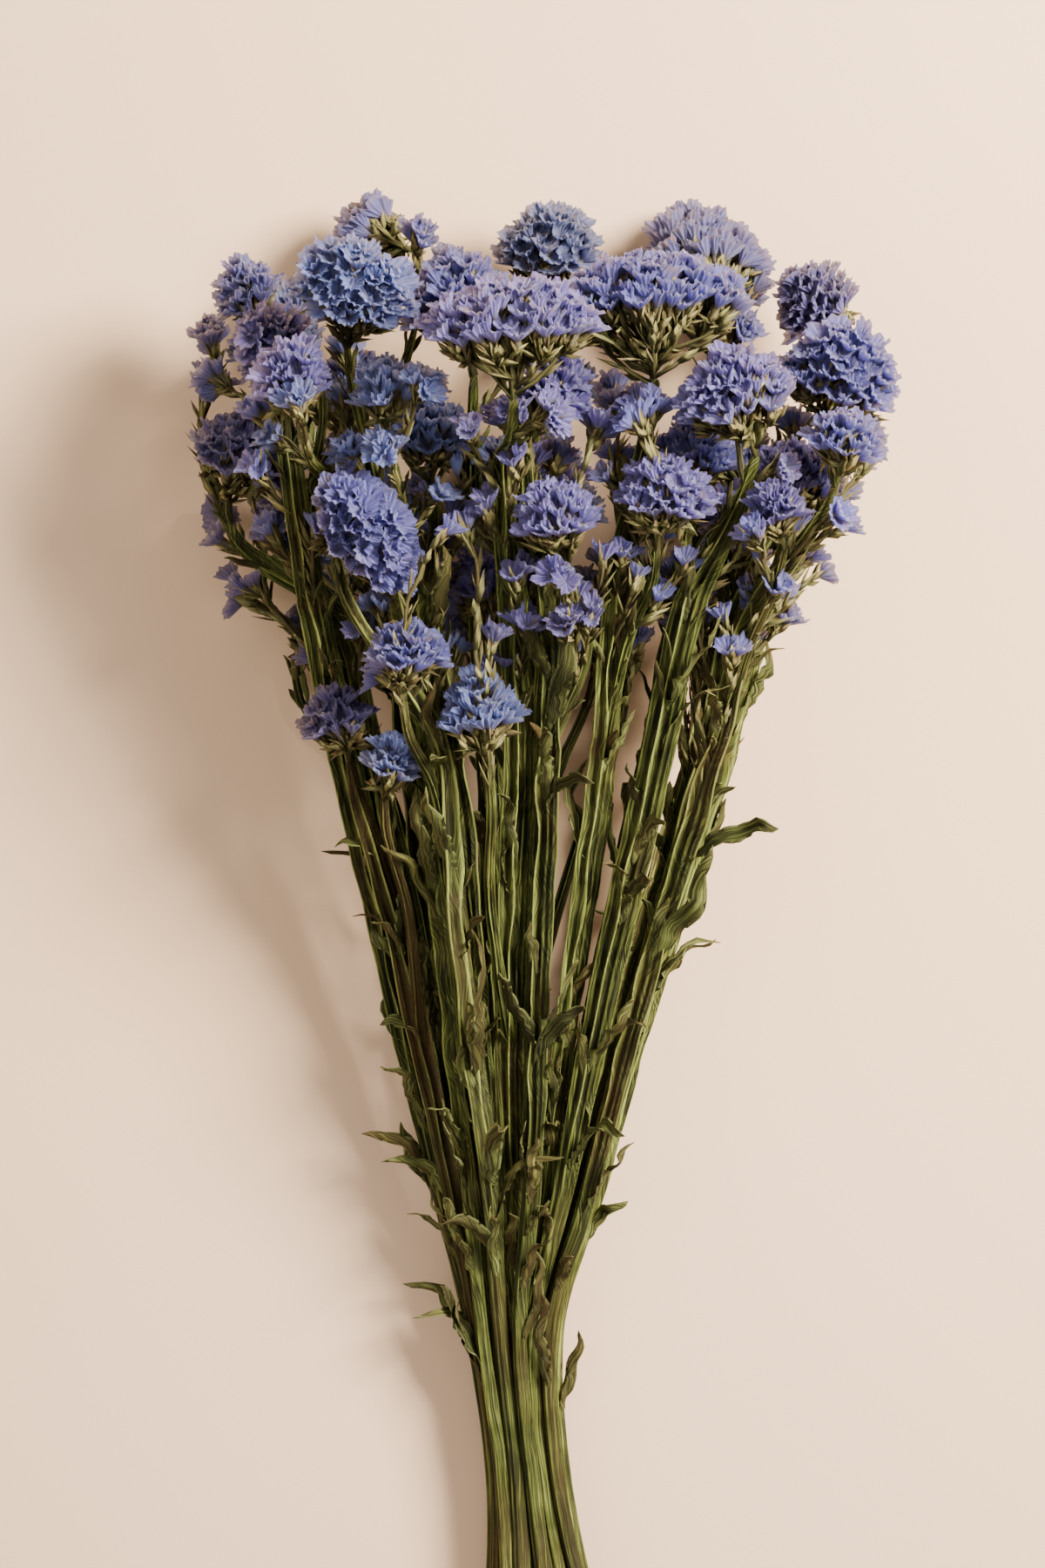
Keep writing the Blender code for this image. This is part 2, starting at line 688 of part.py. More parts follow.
def holds_together(work):
    """Whether every vertex can be reached from the first one along edges."""
    work.verts.ensure_lookup_table()
    seen, waiting = {work.verts[0]}, [work.verts[0]]
    while waiting:
        for edge in waiting.pop().link_edges:
            for vertex in edge.verts:
                if vertex not in seen:
                    seen.add(vertex)
                    waiting.append(vertex)
    return len(seen) == len(work.verts)


def tidied(mesh, sliver, flat):
    """Clears a joined mesh of slivers, and with flat of edges between level faces as well.

    Returns whether the mesh is still one closed surface.
    """
    work = bmesh.new()
    work.from_mesh(mesh)
    bmesh.ops.remove_doubles(work, verts=work.verts, dist=sliver)
    bmesh.ops.dissolve_degenerate(work, edges=work.edges, dist=sliver)
    if flat:
        bmesh.ops.dissolve_limit(
            work, angle_limit=math.radians(0.5), verts=work.verts, edges=work.edges
        )
    bmesh.ops.triangulate(work, faces=work.faces)
    closed = all(len(e.link_faces) == 2 for e in work.edges)
    closed = closed and all(f.calc_area() > 1e-12 for f in work.faces) and holds_together(work)
    work.to_mesh(mesh)
    work.free()
    return closed


def apply_boolean(thing, operation, others):
    """Applies one Boolean with a collection of other objects, and removes them."""
    tools = bpy.data.collections.new("tools")
    bpy.context.scene.collection.children.link(tools)
    for other in others:
        bpy.context.scene.collection.objects.unlink(other)
        tools.objects.link(other)
    modifier = thing.modifiers.new("join", "BOOLEAN")
    modifier.operation = operation
    modifier.operand_type = "COLLECTION"
    modifier.collection = tools
    for solver, sliver, flat in JOIN_TRIES:
        modifier.solver = solver
        shape = thing.evaluated_get(bpy.context.evaluated_depsgraph_get())
        mesh = bpy.data.meshes.new_from_object(shape)
        if tidied(mesh, sliver, flat):
            break
    thing.modifiers.clear()
    thing.data = mesh
    for other in others:
        bpy.data.objects.remove(other)
    bpy.data.collections.remove(tools)


def flatten_underside(thing):
    """Cuts away what reaches under the surface, which leaves small flat spots there."""
    low = min(v.co.z for v in thing.data.vertices)
    if low >= -1e-6:
        return
    size, depth = 2000.0, 50.0
    verts = [(x * size, y * size, z) for z in (-depth, 0) for x in (-1, 1) for y in (-1, 1)]
    faces = [(0, 2, 3, 1), (4, 5, 7, 6), (0, 1, 5, 4), (2, 6, 7, 3), (0, 4, 6, 2), (1, 3, 7, 5)]
    cutter = make_object("surface", verts, faces)
    apply_boolean(thing, "DIFFERENCE", [cutter])


class Bunch:
    """Builds every stem and head from the settled layout."""

    def __init__(self):
        self.layout = Layout()
        self.worst = self.layout.solve()
        start, end = self.layout.capsule_ends()
        self.rng = np.random.default_rng(SEED)
        self.blades = []
        self.taken = [(start, end, self.layout.radius, self.layout.spray)]

    def stop_place(self, stop):
        """Where a stop of a stem or branch lies."""
        return self.layout.points[stop[0]] + stop[1]

    def clearance(self, path, spray):
        """The least distance from a path's points to any other spray."""
        least = 99.0
        probe = (path[1:] + path[:-1]) / 2
        for start, end, radius, owner in self.taken:
            other = owner != spray
            if not other.any():
                continue
            a, b, r = start[other], end[other], radius[other]
            for point in np.vstack([path[1:], probe]):
                along = b - a
                t = ((point - a) * along).sum(1) / np.maximum((along * along).sum(1), 1e-9)
                near = a + np.clip(t, 0, 1)[:, None] * along
                gap = np.linalg.norm(point - near, axis=1) - r
                least = min(least, float(gap.min()))
        return least

    def stem_at(self, spray, y):
        """The point and direction of a stem at a height."""
        stops, _, _ = self.layout.stems[spray][0]
        line = np.array([self.stop_place(s) for s in stops])
        k = int(np.clip(np.searchsorted(line[:, 1], y) - 1, 0, len(line) - 2))
        part = np.clip((y - line[k, 1]) / (line[k + 1, 1] - line[k, 1]), 0, 1)
        return line[k] + part * (line[k + 1] - line[k]), unit(line[k + 1] - line[k])

    def fitting_leaf(self, spray, item):
        """The longest form of a leaf on a stem that is clear of the other sprays, if any."""
        base, tangent = self.stem_at(spray, item.y)
        for size in LEAF_SIZES:
            length = size * item.length
            width = 4.4 + 0.06 * length
            for turn in LEAF_TURNS:
                angle = math.radians(item.side + turn)
                outward = np.array([math.cos(angle), 0, math.sin(angle)])
                outward = unit(outward - (outward @ tangent) * tangent)
                path = leaf_path(base, tangent, outward, length, item.curl)
                room = self.clearance(path, spray) - width / 2 - CLEARANCE
                if room > 0 and path[:, 2].min() > width / 2:
                    return path, width, tangent, outward
        return None

    def place_leaf(self, spray, item):
        """Adds a leaf to a stem where one fits, and keeps later leaves clear of it."""
        found = self.fitting_leaf(spray, item)
        if found is None:
            return
        path, width, _, _ = found
        halves = np.full(len(path) - 1, width / 2)
        self.taken.append((path[:-1], path[1:], halves, np.full(len(halves), spray)))
        self.blades.append((spray, found))

    def place_leaves(self):
        """The leaves in front, each on the foremost stem near it, and those underneath."""
        for item in LEAVES:
            choices = []
            for spray in range(len(SPRAYS)):
                base, _ = self.stem_at(spray, item.y)
                if base[1] > item.y - 5:
                    choices.append((abs(base[0] - item.x) - 0.6 * base[2], spray))
            self.place_leaf(min(choices)[1], item)
        for spray in range(0, len(SPRAYS), 2):
            y = UNDER_LEAF_Y[(spray // 2) % len(UNDER_LEAF_Y)]
            item = Leaf(0, y, UNDER_LEAF_LENGTH, 270, UNDER_LEAF_CURL)
            self.place_leaf(spray, item)

    def build_stem(self, spray):
        """One stem with its branches, leaves and crowns, as one body."""
        parts = []
        for stops, fork, number in self.layout.stems[spray]:
            path = np.array([self.stop_place(s) for s in stops])
            turn = self.rng.uniform(-0.5, 0.5)
            rate = self.rng.uniform(-0.004, 0.004)
            rings = []
            for k, place in enumerate(path):
                if fork is None:
                    reach = stem_reach(place[1]) if k < len(path) - 2 else NECK_REACH
                    winged = float(np.interp(place[1], WINGS_Y, (0, 1)))
                    rings.append(winged_ring(reach, turn + rate * place[1], winged))
                else:
                    reach = float(np.interp(k, (0, len(path) - 1), (BRANCH_REACH, NECK_REACH)))
                    rings.append(round_ring(reach, turn))
            parts.append(swept(path, rings, (1, 0, 0)))
            info = self.layout.heads[number]
            parts.append(crown(info["head"], self.layout.points[info["point"]]))
        for owner, (path, width, tangent, outward) in self.blades:
            if owner == spray:
                parts.append(leaf(path, width, tangent, outward))
        name = f"leafy_stem_{spray + 1:02d}"
        things = [
            make_object(f"{name}_{k}" if k else name, verts, faces)
            for k, (verts, faces) in enumerate(parts)
        ]
        apply_boolean(things[0], "UNION", things[1:])
        flatten_underside(things[0])
        colour = [c * self.rng.uniform(0.85, 1.2) for c in STEM_GREEN]
        things[0].data.materials.clear()
        things[0].data.materials.append(make_material(f"stem_green_{spray + 1:02d}", colour, 0.75))

    def build_heads(self, spray):
        """The heads of one stem."""
        own = [h for h in self.layout.heads if h["spray"] == spray]
        for letter, info in zip("abc", own):
            head = info["head"]
            verts, faces = flower_head(head, self.layout.points[info["point"]], self.rng)
            name = f"flower_head_{spray + 1:02d}_{letter}"
            thing = make_object(name, verts, faces)
            flatten_underside(thing)
            colour = SHADES[head.shade]
            thing.data.materials.clear()
            thing.data.materials.append(make_material(f"calyx_{name[12:]}", colour, 0.8))

    def centre(self):
        """Moves everything so that the bunch's box is centred across and along."""
        corners = np.array([v.co for o in bpy.data.objects for v in o.data.vertices])
        middle = (corners.min(axis=0) + corners.max(axis=0)) / 2
        for thing in bpy.data.objects:
            thing.data.transform(Matrix.Translation((-middle[0], -middle[1], 0)))
        return middle / MM

    def build(self):
        """The whole bunch."""
        self.place_leaves()
        for spray in range(len(SPRAYS)):
            self.build_stem(spray)
            self.build_heads(spray)
        return self.centre()


def main():
    """Clears the scene and builds the bunch."""
    for thing in list(bpy.data.objects):
        bpy.data.objects.remove(thing)
    bunch = Bunch()
    middle = bunch.build()
    print(f"the bunch's middle lay at {middle[0]:.2f} {middle[1]:.2f} mm")
    print(f"worst overlap of two capsules {bunch.worst:.2f} mm")
    print(f"triangles {sum(len(o.data.polygons) for o in bpy.data.objects)}")
    print(f"leaves {len(bunch.blades)}")


main()
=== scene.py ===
"""Dried statice: a bunch of cut, dried flowering stems that lies on a pale floor.

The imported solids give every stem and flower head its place. The layout below repeats the rule
that placed them, so each fine piece lies where its solid lies: ribbed and winged stems with
their forks, leaves, stalks and bracts, and heads of pleated, papery calyces.

Shapes are worked out in millimetres, with x across the bunch, y up from the cut ends and z up
from the floor. Gathering.piece moves them into the frame, in metres.
"""

import logging
import math
from dataclasses import dataclass
from enum import Enum, IntEnum
from functools import partial
from typing import Callable, NamedTuple, Optional

import bpy
import numpy as np
from bpy.types import ID, Material, Node, NodeSocket, NodeTree, Object
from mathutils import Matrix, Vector
from numpy import ndarray as Array


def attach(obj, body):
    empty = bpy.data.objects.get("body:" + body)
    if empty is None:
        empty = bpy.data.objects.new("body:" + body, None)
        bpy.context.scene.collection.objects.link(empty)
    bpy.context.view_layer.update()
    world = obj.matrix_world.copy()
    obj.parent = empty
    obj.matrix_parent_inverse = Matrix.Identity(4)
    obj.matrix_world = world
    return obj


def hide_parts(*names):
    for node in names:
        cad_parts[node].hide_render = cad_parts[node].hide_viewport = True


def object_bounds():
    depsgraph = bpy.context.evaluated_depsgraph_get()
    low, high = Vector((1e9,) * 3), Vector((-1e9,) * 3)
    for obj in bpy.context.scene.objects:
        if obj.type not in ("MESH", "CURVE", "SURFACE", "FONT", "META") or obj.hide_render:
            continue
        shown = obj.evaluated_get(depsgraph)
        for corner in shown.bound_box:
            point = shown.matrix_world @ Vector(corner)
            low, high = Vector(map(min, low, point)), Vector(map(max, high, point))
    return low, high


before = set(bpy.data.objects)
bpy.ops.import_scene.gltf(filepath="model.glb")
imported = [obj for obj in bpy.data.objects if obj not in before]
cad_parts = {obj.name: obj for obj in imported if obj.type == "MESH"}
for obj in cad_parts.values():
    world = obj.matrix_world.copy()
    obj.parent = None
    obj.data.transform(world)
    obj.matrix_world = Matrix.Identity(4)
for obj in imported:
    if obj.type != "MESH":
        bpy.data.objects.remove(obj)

CAD_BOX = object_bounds()
LOG = logging.getLogger("statice")

MM = 0.001
SEED = 47

# What random phases and turns are drawn from, in radians
PHASES = (0, 6.28)

# Fine pieces that would reach lower than this are pressed flat towards the floor
FLOOR_SOFT = 1.5

# How long a floret's form counts as, from its foot to its rim, before it is sized
FORM_LENGTH = 12.5

# Where the middle of the bunch's box lies in the layout, in millimetres
BUNCH_MIDDLE = (0.07, 308.12, 0.0)

# The bunch's outline: at each height above the cut ends, where its middle lies across, half
# its width and half its depth
OUTLINE_Y = (0, 45, 139, 160, 232, 304, 376, 445, 490, 620)
OUTLINE_MIDDLE = (2, -2, -12, -9, -11, -8, 0, -5, -2, 0)
OUTLINE_HALF_WIDTH = (20, 17, 14, 19, 35, 54, 76, 95, 116, 135)
OUTLINE_HALF_DEPTH = (15, 14, 14, 16, 22, 31, 43, 54, 62, 68)

LEVELS = (0, 70, 139, 196, 258, 320, 382, 444, 504)
LEVEL_MARGIN = 39
CUT_UNEVENNESS = 5.0
CUT_RHYTHM = 2.4
WAIST = (60, 160)
STEM_REACH_Y = (0, 139, 240, 340, 440, 560)
STEM_REACH = (3.3, 2.9, 4.9, 6.2, 5.8, 3.0)
WINGS_Y = (150, 250)
BRANCH_REACH = 2.3
NECK_REACH = 1.5
NECK_LENGTH = 11.0
NECK_WAYS = (0.4, 0.95)
BRANCH_SUNK = 1.0
CLEARANCE = 0.2
BEND_GIVE = (1, 0, 1)
BRANCH_GIVE = (0.8, 0.2, 0.8)
HEAD_GIVE = (0.28, 0.2, 1.0)
PUSH = 1.3
STEM_YIELDS = 0.75
BEND_LEAST = 1.0
HEAD_LEAST = 0.82
FORK_DROP = 34.0
FORK_STEEPNESS = 1.25
BRANCH_BOW = 0.06
BRANCH_LIFT = 3

# How a head's blue dome and its green crown are drawn from its length and height
EQUATOR = -0.06
HEAD_LENGTH = 1.44
HEAD_HEIGHT = 1.2
HEAD_DEPTH = (4.0, 0.46)
HEAD_DEPTH_MOST = 0.95
HEAD_HALF_LEAST = 9
HEAD_SINK = 0.45
SPIKE = 1.25
CROWN_BOTTOM = 0.95
CROWN_DEPTH = 1.15
CAPSULE_LIFT = 0.35
SPIKE_START = 0.3
CROWN_CAPSULE = 0.6

LEAF_SPREAD = 28
LEAF_POINTS = 5
LEAF_FOOT = 1.2
LEAF_TURNS = (0, 20, -20, 40, -40, 65, -65, 95, -95, 130, -130)
LEAF_SIZES = (1.1, 0.85, 0.65)
LEAF_WIDTH = (4.4, 0.06)
LEAF_TO_FRONT = 0.6
LEAF_TOO_HIGH = 5
UNDER_LEAF_Y = (190, 250, 300, 345, 390)
UNDER_LEAF_LENGTH = 36
UNDER_LEAF_CURL = 40


class Shade(Enum):
    """The colour that a head's calyces have dried to."""

    MID = "calyx_mid"
    PALE = "calyx_pale"
    LILAC = "calyx_lilac"
    DEEP = "calyx_deep"


class Head(NamedTuple):
    """A flower head: its middle, its comb's length and height, slant, nod and shade."""

    x: float
    y: float
    z: float
    length: float
    height: float
    slant: float
    nod: float
    shade: Shade


class Leaf(NamedTuple):
    """A dried leaf: its foot, length, side of the stem and curl in degrees."""

    x: float
    y: float
    length: float
    side: float
    curl: float


MID, PALE, LILAC, DEEP = Shade.MID, Shade.PALE, Shade.LILAC, Shade.DEEP

# Each stem's heads, the one at its tip first
SPRAYS = (
    (Head(-124, 572, 0, 24, 22, 30, 10, MID), Head(-113, 550, 16, 27, 27, 55, 30, DEEP)),
    (Head(-109, 513, -8, 38, 27, -25, 25, DEEP), Head(-101, 480, -22, 32, 22, -45, 25, MID)),
    (Head(-99, 580, -46, 25, 19, 0, -10, PALE), Head(-83, 446, -42, 27, 21, -35, 20, DEEP)),
    (Head(-77, 594, -28, 32, 24, 75, -35, MID), Head(-79, 543, -14, 25, 19, 0, 0, MID)),
    (
        Head(-72, 563, 46, 43, 32, -10, 45, PALE),
        Head(-72, 524, 52, 23, 20, 5, 15, PALE),
        Head(-99, 553, 34, 25, 24, 10, 20, LILAC),
    ),
    (Head(-63, 474, 54, 48, 24, -58, 55, MID), Head(-54, 432, 50, 28, 19, -5, 10, MID)),
    (Head(-50, 522, 32, 31, 22, 0, 15, PALE), Head(-27, 459, 15, 24, 20, 10, 15, DEEP)),
    (Head(-81, 398, 18, 25, 19, 15, 15, DEEP), Head(-59, 389, 36, 19, 16, -10, 20, PALE)),
    (Head(-29, 578, -4, 40, 30, 10, 10, MID),),
    (Head(-14, 562, 44, 58, 24, 3, 10, LILAC), Head(-28, 407, 46, 27, 24, 8, 5, PALE)),
    (Head(-2, 592, -20, 36, 28, -5, 30, PALE), Head(22, 448, -44, 34, 25, 0, 0, DEEP)),
    (Head(0, 499, -50, 44, 34, -25, 0, DEEP), Head(33, 434, 5, 22, 18, 10, 10, MID)),
    (Head(11, 540, 48, 24, 23, -30, 20, DEEP), Head(25, 490, 46, 28, 22, 15, 15, LILAC)),
    (Head(52, 555, 38, 68, 28, 3, 0, MID), Head(45, 497, 40, 33, 23, -10, 20, LILAC)),
    (Head(83, 588, -34, 46, 48, 5, -35, MID),),
    (Head(81, 531, 48, 40, 28, 20, 25, LILAC), Head(63, 508, 26, 27, 22, -10, 10, MID)),
    (Head(109, 571, -14, 29, 25, 45, 20, DEEP), Head(92, 553, 14, 23, 19, 0, 20, DEEP)),
    (Head(111, 542, 24, 40, 29, -20, 30, MID), Head(108, 502, 22, 32, 19, -15, 15, DEEP)),
    (Head(128, 520, -4, 22, 20, -35, 10, MID), Head(81, 470, -48, 27, 21, -20, 0, PALE)),
    (Head(114, 517, 46, 26, 18, -10, 20, MID), Head(97, 486, 46, 20, 17, 10, 20, DEEP)),
)

LEAVES = (
    Leaf(-60, 292, 20, 165, 20), Leaf(-58, 262, 18, 175, 110), Leaf(-68, 338, 18, 170, 90),
    Leaf(-56, 300, 30, 60, 25), Leaf(-20, 330, 46, 110, 45), Leaf(8, 356, 30, 45, 40),
    Leaf(-4, 256, 40, 140, 30), Leaf(2, 258, 42, 40, 40), Leaf(38, 318, 26, 60, 110),
    Leaf(66, 330, 54, 30, 115), Leaf(74, 356, 20, 10, 60), Leaf(24, 246, 44, 60, 60),
    Leaf(27, 250, 40, 10, 60), Leaf(14, 204, 46, 20, 50), Leaf(-12, 168, 30, 100, 40),
    Leaf(-2, 176, 26, 60, 60), Leaf(5, 410, 30, 120, 30), Leaf(-24, 170, 28, 170, 50),
    Leaf(-45, 366, 28, 60, 35), Leaf(30, 372, 32, 50, 35), Leaf(-27, 243, 64, 70, 12),
    Leaf(6, 386, 58, 70, 10), Leaf(-46, 322, 58, 110, 10), Leaf(45, 292, 58, 60, 10),
    Leaf(18, 425, 48, 80, 12), Leaf(-30, 425, 46, 100, 12), Leaf(62, 398, 50, 60, 12),
    Leaf(-15, 196, 50, 80, 15),
)


def unit(v: Array) -> Array:
    """The vector or rows of vectors at length 1."""
    v = np.asarray(v, float)
    return v / np.maximum(np.linalg.norm(v, axis=-1, keepdims=True), 1e-9)


def square_to(v: Array, along: Array) -> Array:
    """The part of the vector or rows of vectors that is square to along, at length 1."""
    return unit(v - (v * along).sum(-1, keepdims=True) * along)


def across_at(angle: float, tangent: Array) -> Array:
    """The direction square to a stem at an angle about it, from x towards z, in radians."""
    return square_to(np.array([math.cos(angle), 0, math.sin(angle)]), tangent)


def run_at(path: Array) -> Array:
    """The length run at each point of a path."""
    return np.concatenate([[0], np.cumsum(np.linalg.norm(np.diff(path, axis=0), axis=1))])


def angles(count: int) -> Array:
    """Even steps round a full turn, in radians."""
    return 2 * math.pi * np.arange(count) / count


def outline_at(y: float) -> tuple[float, float, float]:
    """The bunch's middle across, half width and half depth at a height."""
    rows = (OUTLINE_MIDDLE, OUTLINE_HALF_WIDTH, OUTLINE_HALF_DEPTH)
    return tuple(float(np.interp(y, OUTLINE_Y, row)) for row in rows)


def stem_reach(y: float) -> float:
    """Half the span of a stem's wings at a height."""
    return float(np.interp(y, STEM_REACH_Y, STEM_REACH))


def head_axes(head: Head) -> tuple[Array, Array, Array]:
    """Unit vectors along the comb, across it and out through its florets.

    Args:
        head: The flower head.

    Returns:
        The three directions.
    """
    slant, nod = math.radians(head.slant), math.radians(head.nod)
    along = np.array([math.cos(slant), math.sin(slant), 0])
    up = np.array([-math.sin(slant), math.cos(slant), 0])
    out = math.cos(nod) * up + math.sin(nod) * np.array([0, 0, 1])
    return along, np.cross(out, along), out


def head_halves(head: Head) -> tuple[float, float, float]:
    """Half the head's length, half its thickness and its height over its middle.

    Args:
        head: The flower head.

    Returns:
        The three sizes.
    """
    rise = HEAD_HEIGHT * head.height / (1 - EQUATOR)
    long = HEAD_LENGTH * head.length / 2
    most = HEAD_DEPTH_MOST * max(long, HEAD_HALF_LEAST)
    thick = min(HEAD_DEPTH[0] + HEAD_DEPTH[1] * max(long, rise), most)
    return long, thick, rise


def crown_drop(head: Head) -> float:
    """How far the crown's own sizes reach under a head's middle."""
    _, thick, rise = head_halves(head)
    return min(rise, CROWN_DEPTH * thick)


def closest(
    p1: Array, q1: Array, p2: Array, q2: Array
) -> tuple[Array, Array]:
    """How far along each of two lines, from 0 to 1, the points nearest each other lie.

    Args:
        p1: Starts of the first lines.
        q1: Ends of the first lines.
        p2: Starts of the second lines.
        q2: Ends of the second lines.

    Returns:
        The two shares, one pair for each row.
    """
    d1, d2, r = q1 - p1, q2 - p2, p1 - p2
    a, e = (d1 * d1).sum(1), (d2 * d2).sum(1)
    f, c, b = (d2 * r).sum(1), (d1 * r).sum(1), (d1 * d2).sum(1)
    spread = a * e - b * b
    s = np.where(spread > 1e-9 * a * e, (b * f - c * e) / np.maximum(spread, 1e-9), 0.5)
    s = np.clip(s, 0, 1)
    t = np.clip((b * s + f) / np.maximum(e, 1e-9), 0, 1)
    s = np.clip((b * t - c) / np.maximum(a, 1e-9), 0, 1)
    return s, t


class Capsule(NamedTuple):
    """A line with a radius between two points of the layout, with a fixed shift from each.

    spray is the stem it belongs to, head_no the head it leads to, or -1, and is_head tells
    whether it is part of a head.
    """

    ends: tuple
    shifts: tuple
    radius: float
    spray: int
    head_no: int
    is_head: bool = False


class Run(NamedTuple):
    """A stem or branch: its stops as (point, shift), and whether it is a branch."""

    stops: list
    is_branch: bool


class Placed(NamedTuple):
    """A head in the layout: its form, its point, its seat under it and its spray."""

    head: Head
    point: int
    seat: Array
    spray: int


@dataclass
class Layout:
    """Places the stems' bends and the heads so that no two sprays cross.

    Every stretch of stem and every head is a capsule, a line with a radius. Two capsules of
    different sprays that come too close push each other apart, over and over, while each
    stem is kept smooth and near its own line in the fan.

    In the first rounds ease, which fades, draws the bends towards a smooth stem and all
    points home, and gather draws those at the waist to its heart. In all rounds hold draws
    them a little. The pairs nearer than near are listed anew every refresh rounds.
    """

    rounds: int = 420
    last_rounds: int = 140
    near: float = 26.0
    refresh: int = 10
    ease: float = 0.25
    gather: float = 0.03
    hold: float = 0.003

    def __post_init__(self) -> None:
        """Lays out the fan and every spray in it."""
        self.points, self.give, self.smooth = [], [], []
        self.capsules: list[Capsule] = []
        self.stems: list[list[Run]] = []
        self.heads: list[Placed] = []
        for number, heads in enumerate(SPRAYS):
            self.add_spray(number, heads)

    def add_point(self, place: Array, give: tuple) -> int:
        """A point that may move, and how freely it does along each axis.

        Args:
            place: Where it starts.
            give: How freely it moves along x, y and z.

        Returns:
            The point's number.
        """
        self.points.append(place)
        self.give.append(give)
        return len(self.points) - 1

    def add_head(self, head: Head, spray: int) -> int:
        """The capsules of the head and of its crown, and where its branch ends.

        Args:
            head: The flower head.
            spray: The stem it belongs to.

        Returns:
            The head's number.
        """
        _, _, depth = outline_at(head.y)
        along, _, out = head_axes(head)
        long, thick, rise = head_halves(head)
        middle = np.array([head.x, head.y, head.z + depth]) - HEAD_SINK * rise * out
        point = self.add_point(middle, HEAD_GIVE)
        number = len(self.heads)
        if rise > SPIKE * long:
            radius = max(long, thick)
            ends = (SPIKE_START * rise * out, (rise - radius) * out)
        else:
            lift = CAPSULE_LIFT * rise
            radius = max(math.hypot(thick, lift), rise - lift)
            half = max(long - math.sqrt(radius**2 - lift**2), 0.3)
            ends = (lift * out - half * along, lift * out + half * along)
        self.capsules.append(Capsule((point, point), ends, radius, spray, number, True))
        girth = CROWN_CAPSULE * min(long, thick)
        ends = (EQUATOR * rise * out, -(CROWN_BOTTOM * crown_drop(head) - girth) * out)
        self.capsules.append(Capsule((point, point), ends, girth, spray, number, True))
        seat = -(CROWN_BOTTOM * crown_drop(head) - BRANCH_SUNK) * out
        self.heads.append(Placed(head, point, seat, spray))
        return number

    def add_run(self, points: list, head_no: int, spray: int, is_stem: bool) -> list:
        """Stem or branch stretches through points and on into the head.

        Args:
            points: The bends in order.
            head_no: The head at the end.
            spray: The stem's number.
            is_stem: Whether it is the stem itself.

        Returns:
            The stops as (point, shift).
        """
        placed = self.heads[head_no]
        _, _, out = head_axes(placed.head)
        root = np.array(self.points[points[-1]])
        seat = self.points[placed.point] + placed.seat
        rise = NECK_WAYS[0] * out + NECK_WAYS[1] * unit(seat - root)
        neck = placed.seat - NECK_LENGTH * unit(rise)
        stops = [(p, np.zeros(3)) for p in points]
        stops += [(placed.point, neck), (placed.point, placed.seat)]
        if is_stem:
            reach = [stem_reach(self.points[p][1]) for p in points] + [NECK_REACH] * 2
        else:
            reach = np.linspace(BRANCH_REACH, NECK_REACH, len(stops))
        for k in range(len(stops) - 1):
            (a, shift_a), (b, shift_b) = stops[k], stops[k + 1]
            own = head_no if k >= len(stops) - 3 else -1
            thickest = max(reach[k], reach[k + 1])
            self.capsules.append(Capsule((a, b), (shift_a, shift_b), thickest, spray, own))
        return stops

    def add_spray(self, spray: int, heads: tuple) -> None:
        """A stem up through the fan to its first head, and a branch to each other head.

        Args:
            spray: The stem's number.
            heads: Its flower heads.
        """
        first = heads[0]
        middle, width, depth = outline_at(first.y)
        across, forward = (first.x - middle) / width, first.z / depth
        numbers = [self.add_head(head, spray) for head in heads]
        seat_y = self.points[self.heads[numbers[0]].point][1]
        levels = [y for y in LEVELS if y < seat_y - LEVEL_MARGIN]
        bends = []
        for y in levels:
            middle, width, depth = outline_at(y)
            if y == 0:
                y = CUT_UNEVENNESS * (1 + math.sin(CUT_RHYTHM * spray))
            place = (middle + across * width, y, depth + forward * depth)
            bends.append(self.add_point(place, BEND_GIVE))
        for k in range(1, len(bends) - 1):
            self.smooth.append((bends[k - 1], bends[k], bends[k + 1]))
        runs = [Run(self.add_run(bends, numbers[0], spray, True), False)]
        for number in numbers[1:]:
            target = self.points[self.heads[number].point]
            fork = self.fork_for(bends, target)
            base = np.array(self.points[bends[fork]])
            bow = np.array([BRANCH_BOW * (target - base)[0], 0, BRANCH_LIFT])
            mid = base + 0.5 * (target - base) + bow
            mid_point = self.add_point(mid, BRANCH_GIVE)
            stops = self.add_run([bends[fork], mid_point], number, spray, False)
            runs.append(Run(stops, True))
        self.stems.append(runs)

    def fork_for(self, bends: list, target: Array) -> int:
        """The bend that a branch leaves from, far enough below its head to rise steeply.

        Args:
            bends: The stem's bends.
            target: The head's middle.

        Returns:
            The bend's place in the list.
        """
        for k in reversed(range(3, len(bends))):
            gap = target - np.array(self.points[bends[k]])
            if gap[1] > FORK_DROP + FORK_STEEPNESS * math.hypot(gap[0], gap[2]):
                return k
        return 4

    def capsule_ends(self, chosen: Optional[Array] = None) -> tuple:
        """Both ends of the capsules of the chosen numbers, or of all.

        Args:
            chosen: The numbers.

        Returns:
            Their starts and their ends.
        """
        pick = slice(None) if chosen is None else chosen
        ends, shifts = self.ends[pick], self.shifts[pick]
        return tuple(self.points[ends[:, k]] + shifts[:, k] for k in (0, 1))

    def freeze(self) -> None:
        """Turns the lists into arrays, and lists the pairs that must stay clear."""
        self.points, self.give = np.array(self.points), np.array(self.give)
        self.home = self.points.copy()
        self.ends, self.shifts, self.radius, self.spray, self.head_no, self.is_head = (
            np.array(column) for column in zip(*self.capsules)
        )
        a, b = np.triu_indices(len(self.ends), 1)
        same = self.spray[a] == self.spray[b]
        both_green = ~self.is_head[a] & ~self.is_head[b]
        own = (self.head_no[a] == self.head_no[b]) & (self.head_no[a] >= 0)
        keep = ~(same & both_green) & ~own
        self.pairs = np.stack([a[keep], b[keep]], axis=1)

